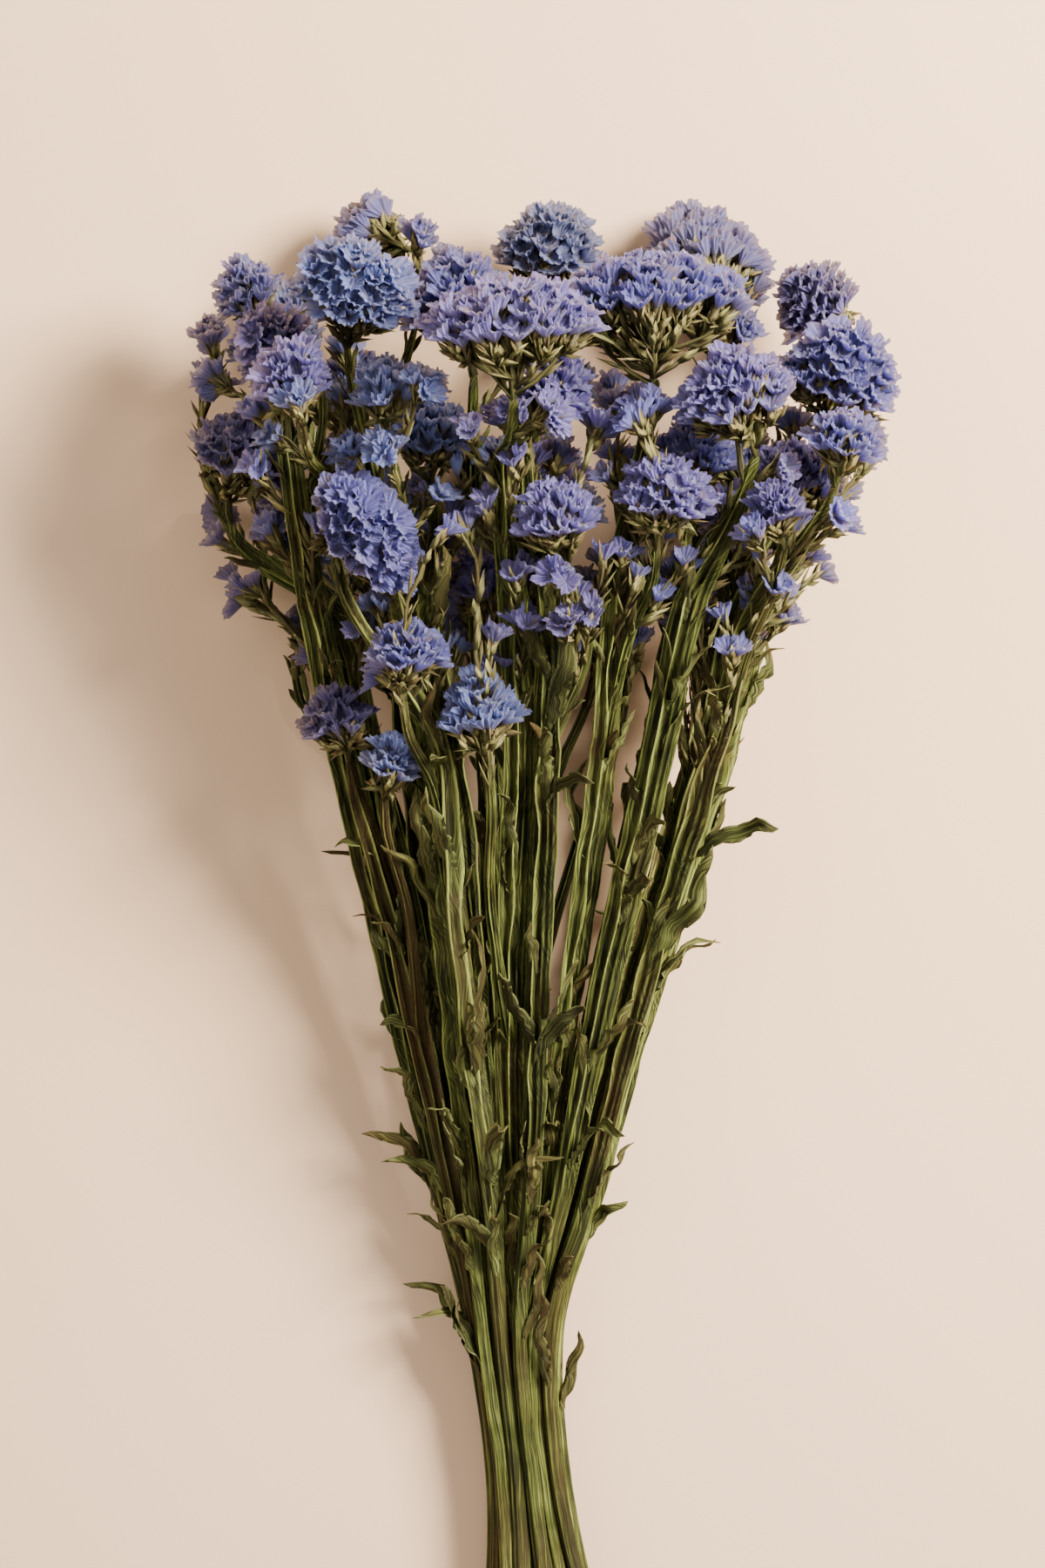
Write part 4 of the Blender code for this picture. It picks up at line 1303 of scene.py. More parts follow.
@dataclass
class FloretGroup:
    """Florets that stand together, with the bracts round their feet.

    feet and ways say where each floret starts and points, in the layout, and length how long
    it is. seed is what its chance starts from.
    """

    seed: int

    def __post_init__(self) -> None:
        """Starts without florets."""
        self.rng = np.random.default_rng(self.seed)
        self.feet = np.zeros((0, 3))
        self.ways = np.zeros((0, 3))
        self.length = np.zeros(0)

    def calyces(self, gathering: Gathering, forms: list) -> None:
        """Adds all florets, each a copy of one of the forms.

        Args:
            gathering: The piece that takes them.
            forms: The floret's forms.
        """
        rng, count = self.rng, len(self.feet)
        form = rng.integers(0, len(forms), count)
        wide = rng.uniform(0.88, 1.14, count)
        narrow = wide * rng.uniform(0.6, 1.05, count)
        sizes = np.stack([narrow, wide, self.length / FORM_LENGTH], axis=1)
        tones = rng.uniform(0, 1, count)
        browns = 0.5 * np.maximum(rng.normal(0, 0.5, count), 0) ** 2
        facing = np.array([0.01, 0.02, 1.0]) + rng.normal(0, 0.3, (count, 3))
        axes = turned_axes(self.ways, facing, rng.uniform(*PHASES, count))
        for k, template in enumerate(forms):
            chosen = form == k
            if chosen.any():
                rows = (each[chosen] for each in (self.feet, axes, sizes, tones, browns))
                gathering.add(scattered(template, *rows))

    def bract_rows(self) -> list:
        """Rows of places, directions, lengths, width and brown of the bracts at the feet."""
        return [
            (self.feet, self.ways, (6.5, 9.5), 3.2, 0.3),
            (self.feet - 1.2 * self.ways, self.ways, (6.0, 9.0), 3.6, 0.1),
            (self.feet - 2.4 * self.ways, self.ways, (6.0, 9.0), 3.6, 0.0),
        ]

    def bracts(self, gathering: Gathering, finish: int) -> None:
        """Adds pointed bracts round each floret's foot and along what carries it.

        Args:
            gathering: The piece that takes them.
            finish: The number of their finish in it.
        """
        rng = self.rng
        template = Bract().surface()
        for place, way, (short, full), width, brown in self.bract_rows():
            count = len(place)
            around = square_to(rng.normal(0, 1, (count, 3)), way)
            lean = rng.uniform(0.15, 0.5, (count, 1))
            wide = width * rng.uniform(0.75, 1.2, count)
            gathering.add(
                scattered(
                    template,
                    place + 0.5 * around,
                    turned_axes(unit(way + lean * around), around, rng.normal(0, 0.3, count)),
                    np.stack([wide, wide, rng.uniform(short, full, count)], axis=1),
                    rng.uniform(0, 1, count),
                    brown + rng.uniform(0, 0.6, count) ** 3,
                ),
                finish,
            )


def on_curve(
    start: Array, control: Array, end: Array, t: Array
) -> Array:
    """Points at t of quadratic curves: (1 - t)^2 start + 2t(1 - t) control + t^2 end."""
    return (1 - t) ** 2 * start + 2 * t * (1 - t) * control + t**2 * end


def bent(start: Array, control: Array, end: Array, at: tuple) -> Array:
    """Points of quadratic curves at the values of t, by curve, one for each row, and t."""
    ends = (np.atleast_2d(p)[:, None] for p in (start, control, end))
    return on_curve(*ends, np.array(at)[None, :, None])


def thin_tubes(path: Array, reach: Array, rng: np.random.Generator) -> Surface:
    """Three-sided tubes along many short lines, as one array.

    Args:
        path: The lines' points, by line and point.
        reach: The tubes' half width at each point.
        rng: The chance that sets their tones.

    Returns:
        All tubes as one surface.
    """
    count, rows = path.shape[:2]
    along = unit(np.gradient(path, axis=1))
    side = unit(np.cross(along, np.array([0.31, 0.05, 0.95])))
    front = np.cross(along, side)
    c, s = np.cos(angles(3))[:, None], np.sin(angles(3))[:, None]
    verts = path[:, :, None] + reach[:, None, None] * (
        c * side[:, :, None] + s * front[:, :, None]
    )
    total = 3 * rows + 2
    verts = np.concatenate([verts.reshape(count, 3 * rows, 3), path[:, [0, -1]]], axis=1)
    row = np.concatenate([np.repeat(np.arange(rows), 3), [0, rows - 1]])
    weave = np.zeros((count, total, 3))
    weave[..., 0] = np.concatenate([np.tile(np.arange(3), rows), [0, 0]])
    weave[..., 1] = row * 4.0
    weave[..., 2] = np.arange(count)[:, None] * 2.3
    look = np.zeros((count, total, 3))
    look[..., 1] = rng.uniform(0, 1, (count, 1))
    look[..., 2] = 0.05 + 0.3 * row / rows
    return joined(verts, *ring_faces(rows, 3), weave, look)


@dataclass
class FlowerHead(FloretGroup):
    """One comb of calyces, the head of that number, with its stalks and bracts.

    Rims keep floret_gap from each other and arms arm_gap, and rims stay inset from the dome.
    tries is how many directions are tried for a rim, lowest how far over the equator they
    start, and bare the wave's height under which the dome stays without rims. lengths is the
    range of the florets' length, and deepest how far down the crown their feet may reach.
    """

    layout: Layout
    number: int
    floret_gap: float = 5.1
    arm_gap: float = 12.0
    inset: tuple = (2.4, 2.6, 1.0)
    tries: int = 2600
    lowest: float = 0.34
    bare: float = -0.62
    lengths: tuple = (11.5, 14.5)
    deepest: float = 0.62

    def __post_init__(self) -> None:
        """Sets the florets of the head."""
        super().__post_init__()
        placed = self.layout.heads[self.number]
        self.head = placed.head
        self.middle = self.layout.points[placed.point]
        self.axes = np.stack(head_axes(self.head))
        self.halves = np.array(head_halves(self.head))
        self.drop = crown_drop(self.head)
        self.set_florets()

    def set_florets(self) -> None:
        """Spreads rims over the dome, and gives each floret its direction and foot.

        A rim lies at a direction on the unit dome times the half sizes less an inset, times a
        slow wave. Its floret points mostly out along the comb's own axis, partly square to
        the dome and partly away from the comb's middle.
        """
        rng = self.rng
        way = unit(rng.normal(0, 1, (self.tries, 3)))
        way = way[way[:, 2] > EQUATOR + self.lowest]
        flat = way * self.halves
        slow = [rng.uniform(0.1, 0.35, 3) * rng.choice([-1, 1], 3) for _ in range(4)]
        wave = sum(np.sin(flat @ k + rng.uniform(0, 6)) for k in slow) / 4
        rims = way * (self.halves - self.inset) * (0.93 + 0.13 * wave)[:, None]
        rims = rims[wave > self.bare]
        rims = rims[picked_apart(rims, self.floret_gap)]
        count = len(rims)
        outward = rims * np.array([0.5 / self.halves[0], 0, 0]) + np.array([0, 0, 0.8])
        way = 0.45 * unit(rims / self.halves**2) + outward + rng.normal(0, 0.15, (count, 3))
        way = unit(way)
        self.length = rng.uniform(*self.lengths, count)
        rims = rims + rng.uniform(-1.6, 0.8, (count, 1)) * way
        feet = rims - self.length[:, None] * way
        feet[:, 2] = np.maximum(feet[:, 2], -self.deepest * self.drop)
        self.ways = unit(rims - feet) @ self.axes
        self.feet = self.world(feet)
        self.set_stalks(feet)

    def set_stalks(self, feet: Array) -> None:
        """Runs arms to some of the feet, and a stalk from the nearest arm to each foot.

        The arms are quadratic curves from the end of the branch or a little over it.

        Args:
            feet: The florets' feet, in the head's own frame.
        """
        rng, count = self.rng, len(feet)
        seat = np.array([0, 0, -(CROWN_BOTTOM * self.drop - BRANCH_SUNK)])
        ends = feet[picked_apart(feet, self.arm_gap)]
        rise = np.array([0, 0, 0.5 * self.drop]) * rng.uniform(0, 1, (len(ends), 1))
        low = np.array([0, 0, -self.deepest * self.drop])
        control = ends * np.array([0.66, 0.62, 0]) + low + rise / 2
        self.arms = self.world(bent(seat + rise, control, ends, (0.0, 0.3, 0.6, 0.8, 1.0)))
        self.rachis = self.world(np.stack([seat, seat + [0, 0, 0.55 * self.drop]])[None])
        nearest = np.linalg.norm(feet[:, None] - ends, axis=2).argmin(axis=1)
        t = rng.uniform(0.5, 0.9, (count, 1))
        start = on_curve(seat + rise[nearest], control[nearest], ends[nearest], t)
        low = 0.25 * np.linalg.norm(feet - start, axis=1, keepdims=True) * np.array([0, 0, 1])
        turn = 0.4 * start + 0.6 * feet - low
        self.line = self.world(bent(start, turn, feet, (0.0, 0.4, 0.75, 1.0)))

    def world(self, points: Array) -> Array:
        """Points of the head's own frame in the layout."""
        return self.middle + points @ self.axes

    def bract_rows(self) -> list:
        """The rows of all florets, and those along the stalks.

        Returns:
            The rows of places, directions, lengths, width and brown.
        """
        rows = super().bract_rows()
        on_line = ((0, 0.6), (1, 0.7))
        on_arms = ((0, 0.5), (1, 0.2), (1, 0.8), (2, 0.4), (2, 0.9), (3, 0.5))
        for lines, spots, lengths, width in (
            (self.line, on_line, (7.0, 10.5), 3.4),
            (self.arms, on_arms, (8.0, 14.0), 3.8),
        ):
            for k, share in spots:
                step = lines[:, k + 1] - lines[:, k]
                rows.append((lines[:, k] + share * step, unit(step), lengths, width, 0.0))
        return rows

    def stalks(self, gathering: Gathering, finish: int) -> None:
        """Adds the arms and the thin stalks on them, with the finish of that number."""
        for path, reach in (
            (self.rachis, (2.0, 0.9)),
            (self.arms, (1.3, 1.2, 1.0, 0.9, 0.7)),
            (self.line, (0.8, 0.7, 0.6, 0.6)),
        ):
            gathering.add(thin_tubes(path, np.array(reach), self.rng), finish)


@dataclass
class Sprig(FloretGroup):
    """A side shoot along a line, which carries a few florets, or more near the top."""

    line: Array
    full_above: float = 500.0
    lengths: tuple = (10.5, 13.0)
    spread: tuple = (0.1, 0.75)

    def __post_init__(self) -> None:
        """Sets the florets at the end of the shoot.

        The florets point along the shoot's end, each turned aside by a part of a direction
        across it, and their feet lie along its last stretch.
        """
        super().__post_init__()
        line, rng = self.line, self.rng
        count = int(rng.integers(4, 9) if line[-1, 1] > self.full_above else rng.integers(1, 4))
        heading = unit(line[-1] - line[-2])
        across = square_to(rng.normal(0, 1, (count, 3)), heading)
        self.ways = unit(heading + rng.uniform(*self.spread, (count, 1)) * across)
        self.feet = line[-1] - rng.uniform(0, 5, (count, 1)) * heading + 0.8 * across
        self.length = rng.uniform(*self.lengths, count)

    def bract_rows(self) -> list:
        """The rows of all florets, and those along the shoot.

        Returns:
            The rows of places, directions, lengths, width and brown.
        """
        rows = super().bract_rows()
        step = np.diff(self.line, axis=0)
        for share in (0.2, 0.7):
            rows.append((self.line[:-1] + share * step, unit(step), (8.0, 15.0), 3.2, 0.0))
        return rows

    def shoot(self) -> Surface:
        """The thin, six-sided shoot itself.

        Returns:
            The shoot as a tube.
        """
        line = smooth_path(self.line, 4.0)
        ring = np.stack([np.cos(angles(6)), 0.7 * np.sin(angles(6))], axis=1)
        reach = np.linspace(1.25, 0.7, len(line))[:, None, None]
        brown = np.linspace(0.1, 0.35, len(line))
        tone, mark = self.rng.uniform(0, 1), self.rng.uniform(0, 90)
        return tube(line, reach * ring, (1, 0, 0), np.zeros(6), tone, brown, mark)


class Green(IntEnum):
    """The place of a finish among those of a leafy stem."""

    STEM = 0
    LEAF = 1
    BRACT = 2


@dataclass(frozen=True)
class LeafKind:
    """A kind of leaf that the solids leave out, as the ranges each leaf is drawn from.

    curl is in degrees, angle is the side it leans to in radians, flattened how much of its
    lean it keeps, crinkle how strongly its edges wave, and count how many grow at a place.
    """

    curl: tuple
    brown: tuple
    angle: tuple = (0, 2 * math.pi)
    length: tuple = (10, 24)
    width: tuple = (2.8, 5.2)
    flattened: float = 0.85
    crinkle: float = 0.8
    count: int = 2


GREEN_TIP = LeafKind(curl=(4, 15), brown=(0.0, 0.25))
PAPERY_TIP = LeafKind(curl=(0, 45), brown=(0.1, 0.7))
LONG_LEAF = LeafKind((0, 50), (0.0, 0.3), (-0.5, 3.6), (24, 58), (5.5, 9.5), 0.62, 2.0, 1)


@dataclass
class Stem:
    """One leafy stem: the winged stem itself, its branches, leaves and forks.

    spray is the stem's number in the layout, blades are its leaves, room is what all stems,
    heads and packed leaves take, seed is what its chance starts from, and spacing is how far
    apart its rings lie. sink is how far a leaf may press into another stem's reach, and tries
    how many forms of a leaf are tried. Small leaves grow from tips_from up, tip_spacing apart,
    and long_leaves long ones from long_from up to long_to or to long_below under the top,
    whichever is higher. The stem narrows over taper below its head, a branch is drawn at
    branch_reach of its packed half width, and each fork swells over about knot. half_cut is
    half of the winged cut shape as (across, up, painted light), from one edge to the other, in
    parts of the reach. The painted light is 1 on crests, a painted highlight, and near 0 in the
    grooves, which the finish darkens as painted shade. The other half is the same, turned half
    round.
    """

    layout: Layout
    spray: int
    blades: list
    room: Room
    seed: int
    spacing: float = 5.6
    sink: float = 0.3
    tries: int = 14
    tips_from: float = 400.0
    tip_spacing: float = 15.0
    long_leaves: int = 9
    long_from: float = 95.0
    long_to: float = 230.0
    long_below: float = 60.0
    taper: float = 55.0
    branch_reach: float = 1.25
    knot: float = 2.6
    # The third number of each point is painted light: a painted highlight on crests and edges,
    # painted shade in the grooves.
    half_cut: tuple = (
        (1.0, 0.0, 1.0), (0.93, 0.12, 0.8), (0.82, 0.03, 0.1), (0.70, 0.20, 0.7),
        (0.58, 0.03, 0.05), (0.42, 0.05, 0.0), (0.31, 0.20, 0.4), (0.22, 0.62, 1.0),
        (0.15, 0.60, 0.9), (0.10, 0.15, 0.2), (-0.08, 0.06, 0.0), (-0.27, 0.08, 0.05),
        (-0.36, 0.34, 0.75), (-0.45, 0.08, 0.05), (-0.62, 0.03, 0.1), (-0.74, 0.20, 0.65),
        (-0.86, 0.03, 0.1), (-0.95, 0.08, 0.7),
    )

    def __post_init__(self) -> None:
        """Draws the stem's tone and age."""
        self.rng = np.random.default_rng(self.seed)
        self.tone = float(self.rng.uniform(0, 1))
        self.age = float(0.6 * self.rng.uniform(0, 1) ** 3)
        self.gathering = Gathering()

    def wave(self, run: Array, lengths: tuple) -> Array:
        """A slow random wave along a run: the mean of sines of the given wavelengths.

        Args:
            run: The length run at each point.
            lengths: The wavelengths.

        Returns:
            The wave's height at each point.
        """
        total = np.zeros(len(run))
        for length in lengths:
            size, phase = self.rng.uniform(0.5, 1), self.rng.uniform(*PHASES)
            total += size * np.sin(2 * math.pi * run / length + phase)
        return total / len(lengths)

    def side_waves(
        self, run: Array, side: Array, above: tuple, below: tuple
    ) -> Array:
        """A wave of the lengths above where side is over 0, and one of below where it is under."""
        first, second = self.wave(run, above)[:, None], self.wave(run, below)[:, None]
        return first * (side > 0) + second * (side < 0)

    def winged_rings(
        self, run: Array, reach: Array, winged: Array, turn: Array
    ) -> tuple[Array, Array]:
        """Cut shapes of a stem, from ribbed round to two thin, wavy wings.

        Round: the radius is the reach times 1 plus a small cosine of nine ribs. Winged: thin
        wings to both sides, on each face a third, upright wing off the middle and lower ribs.
        The wings' edges bend to the front and back in slow waves that grow with the square of
        x, and the upright wings lean in waves of their own.

        Args:
            run: The length run at each ring.
            reach: Half the span at each ring.
            winged: How far each ring has wings, from 0 to 1.
            turn: How far each ring is turned.

        Returns:
            The rings, and how light each ring point is painted: a painted highlight on crests,
            edges and ribs, painted shade in the grooves between.
        """
        half = np.array(self.half_cut)
        x, up, painted_crest_light = np.vstack([half, half * np.array([-1, -1, 1])]).T
        crest = np.clip(np.abs(up) / 0.5, 0, 1) ** 2 * np.sign(up)
        front = self.side_waves(run, x, (37, 61, 90), (43, 55, 101))
        edge = 1 + 0.07 * self.side_waves(run, x, (21, 47), (26, 39))
        tall = 1 + 0.3 * self.wave(run, (31, 73))[:, None] * (np.abs(up) > 0.3)
        lean = self.side_waves(run, up, (33, 67), (41, 59))
        flat = np.stack([x * edge + 0.22 * crest * lean, up * tall + 0.30 * front * x**2], axis=2)
        angle = angles(len(x))
        ribs = np.cos(9 * angle)
        ridge = 1 + 0.12 * ribs
        round_ = np.stack([ridge * np.cos(angle), ridge * np.sin(angle)], axis=1)
        w = winged[:, None, None]
        rings = reach[:, None, None] * (w * flat + (1 - w) * round_)
        w = w[..., 0]
        # Painted light: crests, edges and ribs are painted lighter and the grooves between them
        # darker, as highlight and shade.
        light = painted_crest_light * w + (1 - w) * (0.4 + 0.4 * ribs)
        return turned_rings(rings[..., 0], rings[..., 1], turn), light

    def build_run(self, run: Run, turn: float, rate: float) -> None:
        """The stem itself or a branch, as a winged, ribbed tube.

        Args:
            run: Its stops.
            turn: How far its wings are turned.
            rate: How fast they turn with height.
        """
        stops = stop_line(self.layout, run.stops)
        path = smooth_path(stops, self.spacing)
        along = run_at(path)
        if not run.is_branch:
            reach = np.array([stem_reach(y) for y in path[:, 1]])
            near = np.clip((along[-1] - along) / self.taper, 0, 1)
            reach = NECK_REACH + (reach - NECK_REACH) * near**0.6
            winged = np.interp(path[:, 1], WINGS_Y, (0.4, 1)) * np.clip(near * 3, 0.3, 1)
            reach *= 1 + (self.rng.uniform(-0.12, 0.14) + 0.05) * winged
            turns = turn + rate * path[:, 1]
        else:
            share = along / along[-1]
            reach = self.branch_reach * (BRANCH_REACH + share * (NECK_REACH - BRANCH_REACH))
            winged = np.full(len(path), 0.8)
            turns = np.full(len(path), turn)
        brown = self.age + 0.2 * self.wave(along, (80, 140))
        for other in self.layout.stems[self.spray][1:]:
            fork = stop_line(self.layout, other.stops)[0]
            gap = np.linalg.norm(path - fork, axis=1)
            knot = np.exp(-((gap / self.knot) ** 2))
            reach = reach * (1 + 0.12 * knot)
            brown = brown + 0.3 * knot
        if not run.is_branch:
            brown = brown + 0.3 * np.interp(path[:, 1], (0, 60), (1, 0))
        # edge is here how light each ring point is painted: a painted highlight on crests, painted
        # shade in grooves.
        rings, edge = self.winged_rings(along, reach, winged, turns)
        self.gathering.add(
            tube(path, rings, (1, 0, 0), edge, self.tone, brown, self.rng.uniform(0, 90)),
            Green.STEM,
        )

    def blade(
        self, path: Array, width: float, spread: Array, brown: float, crinkle: float
    ) -> Surface:
        """A dried leaf along its midrib: folded, twisted, with waved edges.

        At t along and u from -1 to 1 across, the half width is a lance, t to the power 0.5
        times (1 - t) to the power 0.6, and the blade rises by the fold times |u| and by waves
        of t that grow with u squared. The wall is a thin lens of two sides.

        Args:
            path: The midrib's points.
            width: The blade's widest.
            spread: The direction across it.
            brown: How brown it is.
            crinkle: How strongly its edges wave.

        Returns:
            The surface.
        """
        rng = self.rng
        size = np.linalg.norm(path[-1] - path[0])
        line = smooth_path(path, max(1.6, size / 18))
        count = len(line)
        t = np.linspace(0, 1, count)
        across = unit(spread)
        normal = unit(np.cross(across, line[-1] - line[0]))
        curl = size * crinkle * rng.uniform(-0.8, 0.8) * np.clip(t - 0.5, 0, 1) ** 2
        line = line + curl[:, None] * normal
        sway = 0.045 * size * crinkle * t[:, None] ** 1.3
        line = line + sway * (
            self.wave(t, (0.45, 0.8))[:, None] * across + self.wave(t, (0.4, 0.9))[:, None] * normal
        )
        half = width / 2 * (t + 0.004) ** 0.5 * (1 - t) ** 0.6 * 1.55
        half = np.maximum(half, 0.12)
        u = np.array([1, 0.55, 0, -0.55, -1, -0.55, 0, 0.55])
        wall = np.array([0, 1, 1, 1, 0, -1, -1, -1]) * 0.16
        run = t * run_at(line)[-1]
        waves = self.side_waves(run, u, (8, 13, 21), (7, 15, 19)) * u**2
        fold = 0.35 * np.abs(u)
        height = half[:, None] * (fold + 0.55 * crinkle * waves) + wall
        turned = 0.9 * abs(spread[2]) * rng.choice([-1, 1])
        twist = rng.uniform(-0.9, 0.9) * t**1.3 + turned * np.clip(2.5 * t, 0, 1)
        flat = half[:, None] * u * (1 - 0.12 * np.abs(waves))
        rings, browns = turned_rings(flat, height, twist), brown + 0.2 * t**3
        return tube(line, rings, spread, np.abs(u), rng.uniform(0, 1), browns, rng.uniform(0, 90))

    def add_clearest(self, make: Callable[[], Surface], always: bool) -> None:
        """Adds the first of some random leaves that is clear of the other stems.

        Args:
            make: Makes a leaf, a new one at each call.
            always: Whether the clearest is added where none is clear.
        """
        best, room = None, -math.inf
        for _ in range(self.tries):
            surface = make()
            gap = self.room.least_gap(surface.verts, self.spray)
            if gap > room:
                best, room = surface, gap
            if gap > -self.sink:
                break
        if always or room > -self.sink:
            self.gathering.add(best, Green.LEAF)

    def build_leaves(self) -> None:
        """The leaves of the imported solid, along the same midribs."""
        for blade in self.blades:
            spread = np.cross(blade.tangent, blade.outward)
            age = self.rng.uniform(0, 0.6) ** 3
            make = partial(self.blade, blade.path, blade.width * 1.5, spread, age, 1.5)
            self.add_clearest(make, True)

    def free_leaf(self, place: Array, tangent: Array, kind: LeafKind) -> Surface:
        """A random leaf that grows from a place on the stem.

        Args:
            place: Where it grows from.
            tangent: The stem's direction there.
            kind: Its kind.

        Returns:
            The surface.
        """
        rng = self.rng
        outward = across_at(rng.uniform(*kind.angle), tangent)
        length = rng.uniform(*kind.length)
        path = leaf_path(place, tangent, outward, length, rng.uniform(*kind.curl))
        keep = np.array([kind.flattened, 1, kind.flattened])
        path = path[0] + LEAF_FOOT * outward + (path - path[0]) * keep
        spread, width = np.cross(tangent, outward), rng.uniform(*kind.width)
        return self.blade(path, width, spread, rng.uniform(*kind.brown), kind.crinkle)

    def build_tips(self, run: Run) -> None:
        """Small leaves near the top, papery ones at forks, and long ones along the stem.

        Args:
            run: The stem's or branch's stops.
        """
        line = smooth_path(stop_line(self.layout, run.stops), 3.0)
        top = line[-1, 1]
        heights = np.arange(max(self.tips_from, line[0, 1]), top, self.tip_spacing)
        tips = [(y, GREEN_TIP) for y in heights]
        if not run.is_branch:
            forks = self.layout.stems[self.spray][1:]
            tips += [(stop_line(self.layout, r.stops)[0][1], PAPERY_TIP) for r in forks]
            least, most = self.long_from, max(top - self.long_below, self.long_to)
            tips += [(y, LONG_LEAF) for y in self.rng.uniform(least, most, self.long_leaves)]
        for y, kind in tips:
            k = min(max(int(np.argmin(np.abs(line[:, 1] - y))), 1), len(line) - 2)
            tangent = unit(line[k + 1] - line[k - 1])
            for _ in range(kind.count):
                self.add_clearest(partial(self.free_leaf, line[k], tangent, kind), False)

    def build(self, heads: list, sprigs: list) -> Gathering:
        """The whole stem, with the stalks and bracts of its heads and side shoots.

        Args:
            heads: Its flower heads.
            sprigs: Its side shoots.

        Returns:
            The parts of the piece.
        """
        for run in self.layout.stems[self.spray]:
            turn = float(self.rng.uniform(-0.5, 0.5))
            rate = float(self.rng.uniform(-0.004, 0.004))
            self.build_run(run, turn, rate)
            self.build_tips(run)
        self.build_leaves()
        for head in heads:
            head.stalks(self.gathering, Green.BRACT)
            head.bracts(self.gathering, Green.BRACT)
        for sprig in sprigs:
            self.gathering.add(sprig.shoot(), Green.BRACT)
            sprig.bracts(self.gathering, Green.BRACT)
        return self.gathering


@dataclass(frozen=True)
class Nodes:
    """Adds and links the nodes of a material or a shared effect, in its tree."""

    tree: NodeTree

    def feed(self, socket: NodeSocket, value: object) -> None:
        """Links a socket to another, or sets its value.

        Args:
            socket: The socket.
            value: Another socket, or a value.
        """
        if isinstance(value, NodeSocket):
            self.tree.links.new(value, socket)
        else:
            socket.default_value = value

    def add(self, kind: str, *values: object, **settings: object) -> Node:
        """A new node of a kind.

        Args:
            kind: The kind.
            values: What its first inputs take.
            settings: Its own settings.

        Returns:
            The node.
        """
        node = self.tree.nodes.new(kind)
        for name, setting in settings.items():
            setattr(node, name, setting)
        for socket, value in zip(node.inputs, values):
            self.feed(socket, value)
        return node

    def fill(self, node: Node, values: dict) -> Node:
        """The node, its inputs of those names fed with sockets or plain values."""
        for name, value in values.items():
            self.feed(node.inputs[name], value)
        return node

    def effect(self, group: NodeTree, *values: object) -> Node:
        """A shared effect, with what its inputs take."""
        return self.add("ShaderNodeGroup", *values, node_tree=group)

    def math(self, operation: str, *values: object, clamp: bool = False) -> NodeSocket:
        """The result of a Math node, held from 0 to 1 where it is to clamp."""
        node = self.add("ShaderNodeMath", *values, operation=operation, use_clamp=clamp)
        return node.outputs[0]

    def mix(self, share: object, first: object, second: object) -> NodeSocket:
        """A colour between two colours.

        Args:
            share: How much of the second it takes.
            first: The first, as a socket or as red, green and blue.
            second: The second, likewise.

        Returns:
            The colour's socket.
        """
        node = self.add("ShaderNodeMix", share, data_type="RGBA")
        for socket, colour in ((node.inputs[6], first), (node.inputs[7], second)):
            self.feed(socket, (*colour, 1) if isinstance(colour, tuple) else colour)
        return node.outputs[2]

    def between(self, value: object, low: float, high: float) -> NodeSocket:
        """How far a value lies from low to high, held from 0 to 1 and eased at both."""
        kind = "ShaderNodeMapRange"
        return self.add(kind, value, low, high, interpolation_type="SMOOTHSTEP").outputs[0]

    def attribute(self, name: str) -> NodeSocket:
        """The piece's vector attribute of that name."""
        return self.add("ShaderNodeAttribute", attribute_name=name).outputs["Vector"]

    def times(self, one: object, other: object, clamp: bool = False) -> NodeSocket:
        """One value times another."""
        return self.math("MULTIPLY", one, other, clamp=clamp)

    def plus(self, one: object, other: object) -> NodeSocket:
        """One value plus another."""
        return self.math("ADD", one, other)

    def place(self) -> NodeSocket:
        """The Object coordinates."""
        return self.add("ShaderNodeTexCoord").outputs["Object"]

    def parts(self, vector: NodeSocket) -> tuple:
        """The three parts of a vector."""
        return tuple(self.add("ShaderNodeSeparateXYZ", vector).outputs)

    def vector(self, x: object, y: object, z: object) -> NodeSocket:
        """A vector of three parts."""
        return self.add("ShaderNodeCombineXYZ", x, y, z).outputs[0]

    def noise(self, vector: object, scale: float, detail: float) -> NodeSocket:
        """The value of a Noise Texture of that scale and detail, read at a vector."""
        values = {"Vector": vector, "Scale": scale, "Detail": detail}
        return self.fill(self.add("ShaderNodeTexNoise"), values).outputs[0]


def shared_effect(name: str, inputs: dict, outputs: tuple) -> tuple[NodeTree, Nodes, tuple]:
    """An empty shader node group with the named sockets.

    Args:
        name: The group's name.
        inputs: Its inputs' first values by name, None standing for a vector.
        outputs: The names of its outputs, which are numbers.

    Returns:
        The group, its nodes, and its input and output nodes.
    """
    group = bpy.data.node_groups.new(name, "ShaderNodeTree")
    number, vector = "NodeSocketFloat", "NodeSocketVector"
    for label, value in inputs.items():
        if value is None:
            group.interface.new_socket(label, in_out="INPUT", socket_type=vector)
        else:
            socket = group.interface.new_socket(label, in_out="INPUT", socket_type=number)
            socket.default_value = value
    for label in outputs:
        group.interface.new_socket(label, in_out="OUTPUT", socket_type=number)
    nodes = Nodes(group)
    return group, nodes, (nodes.add("NodeGroupInput"), nodes.add("NodeGroupOutput"))


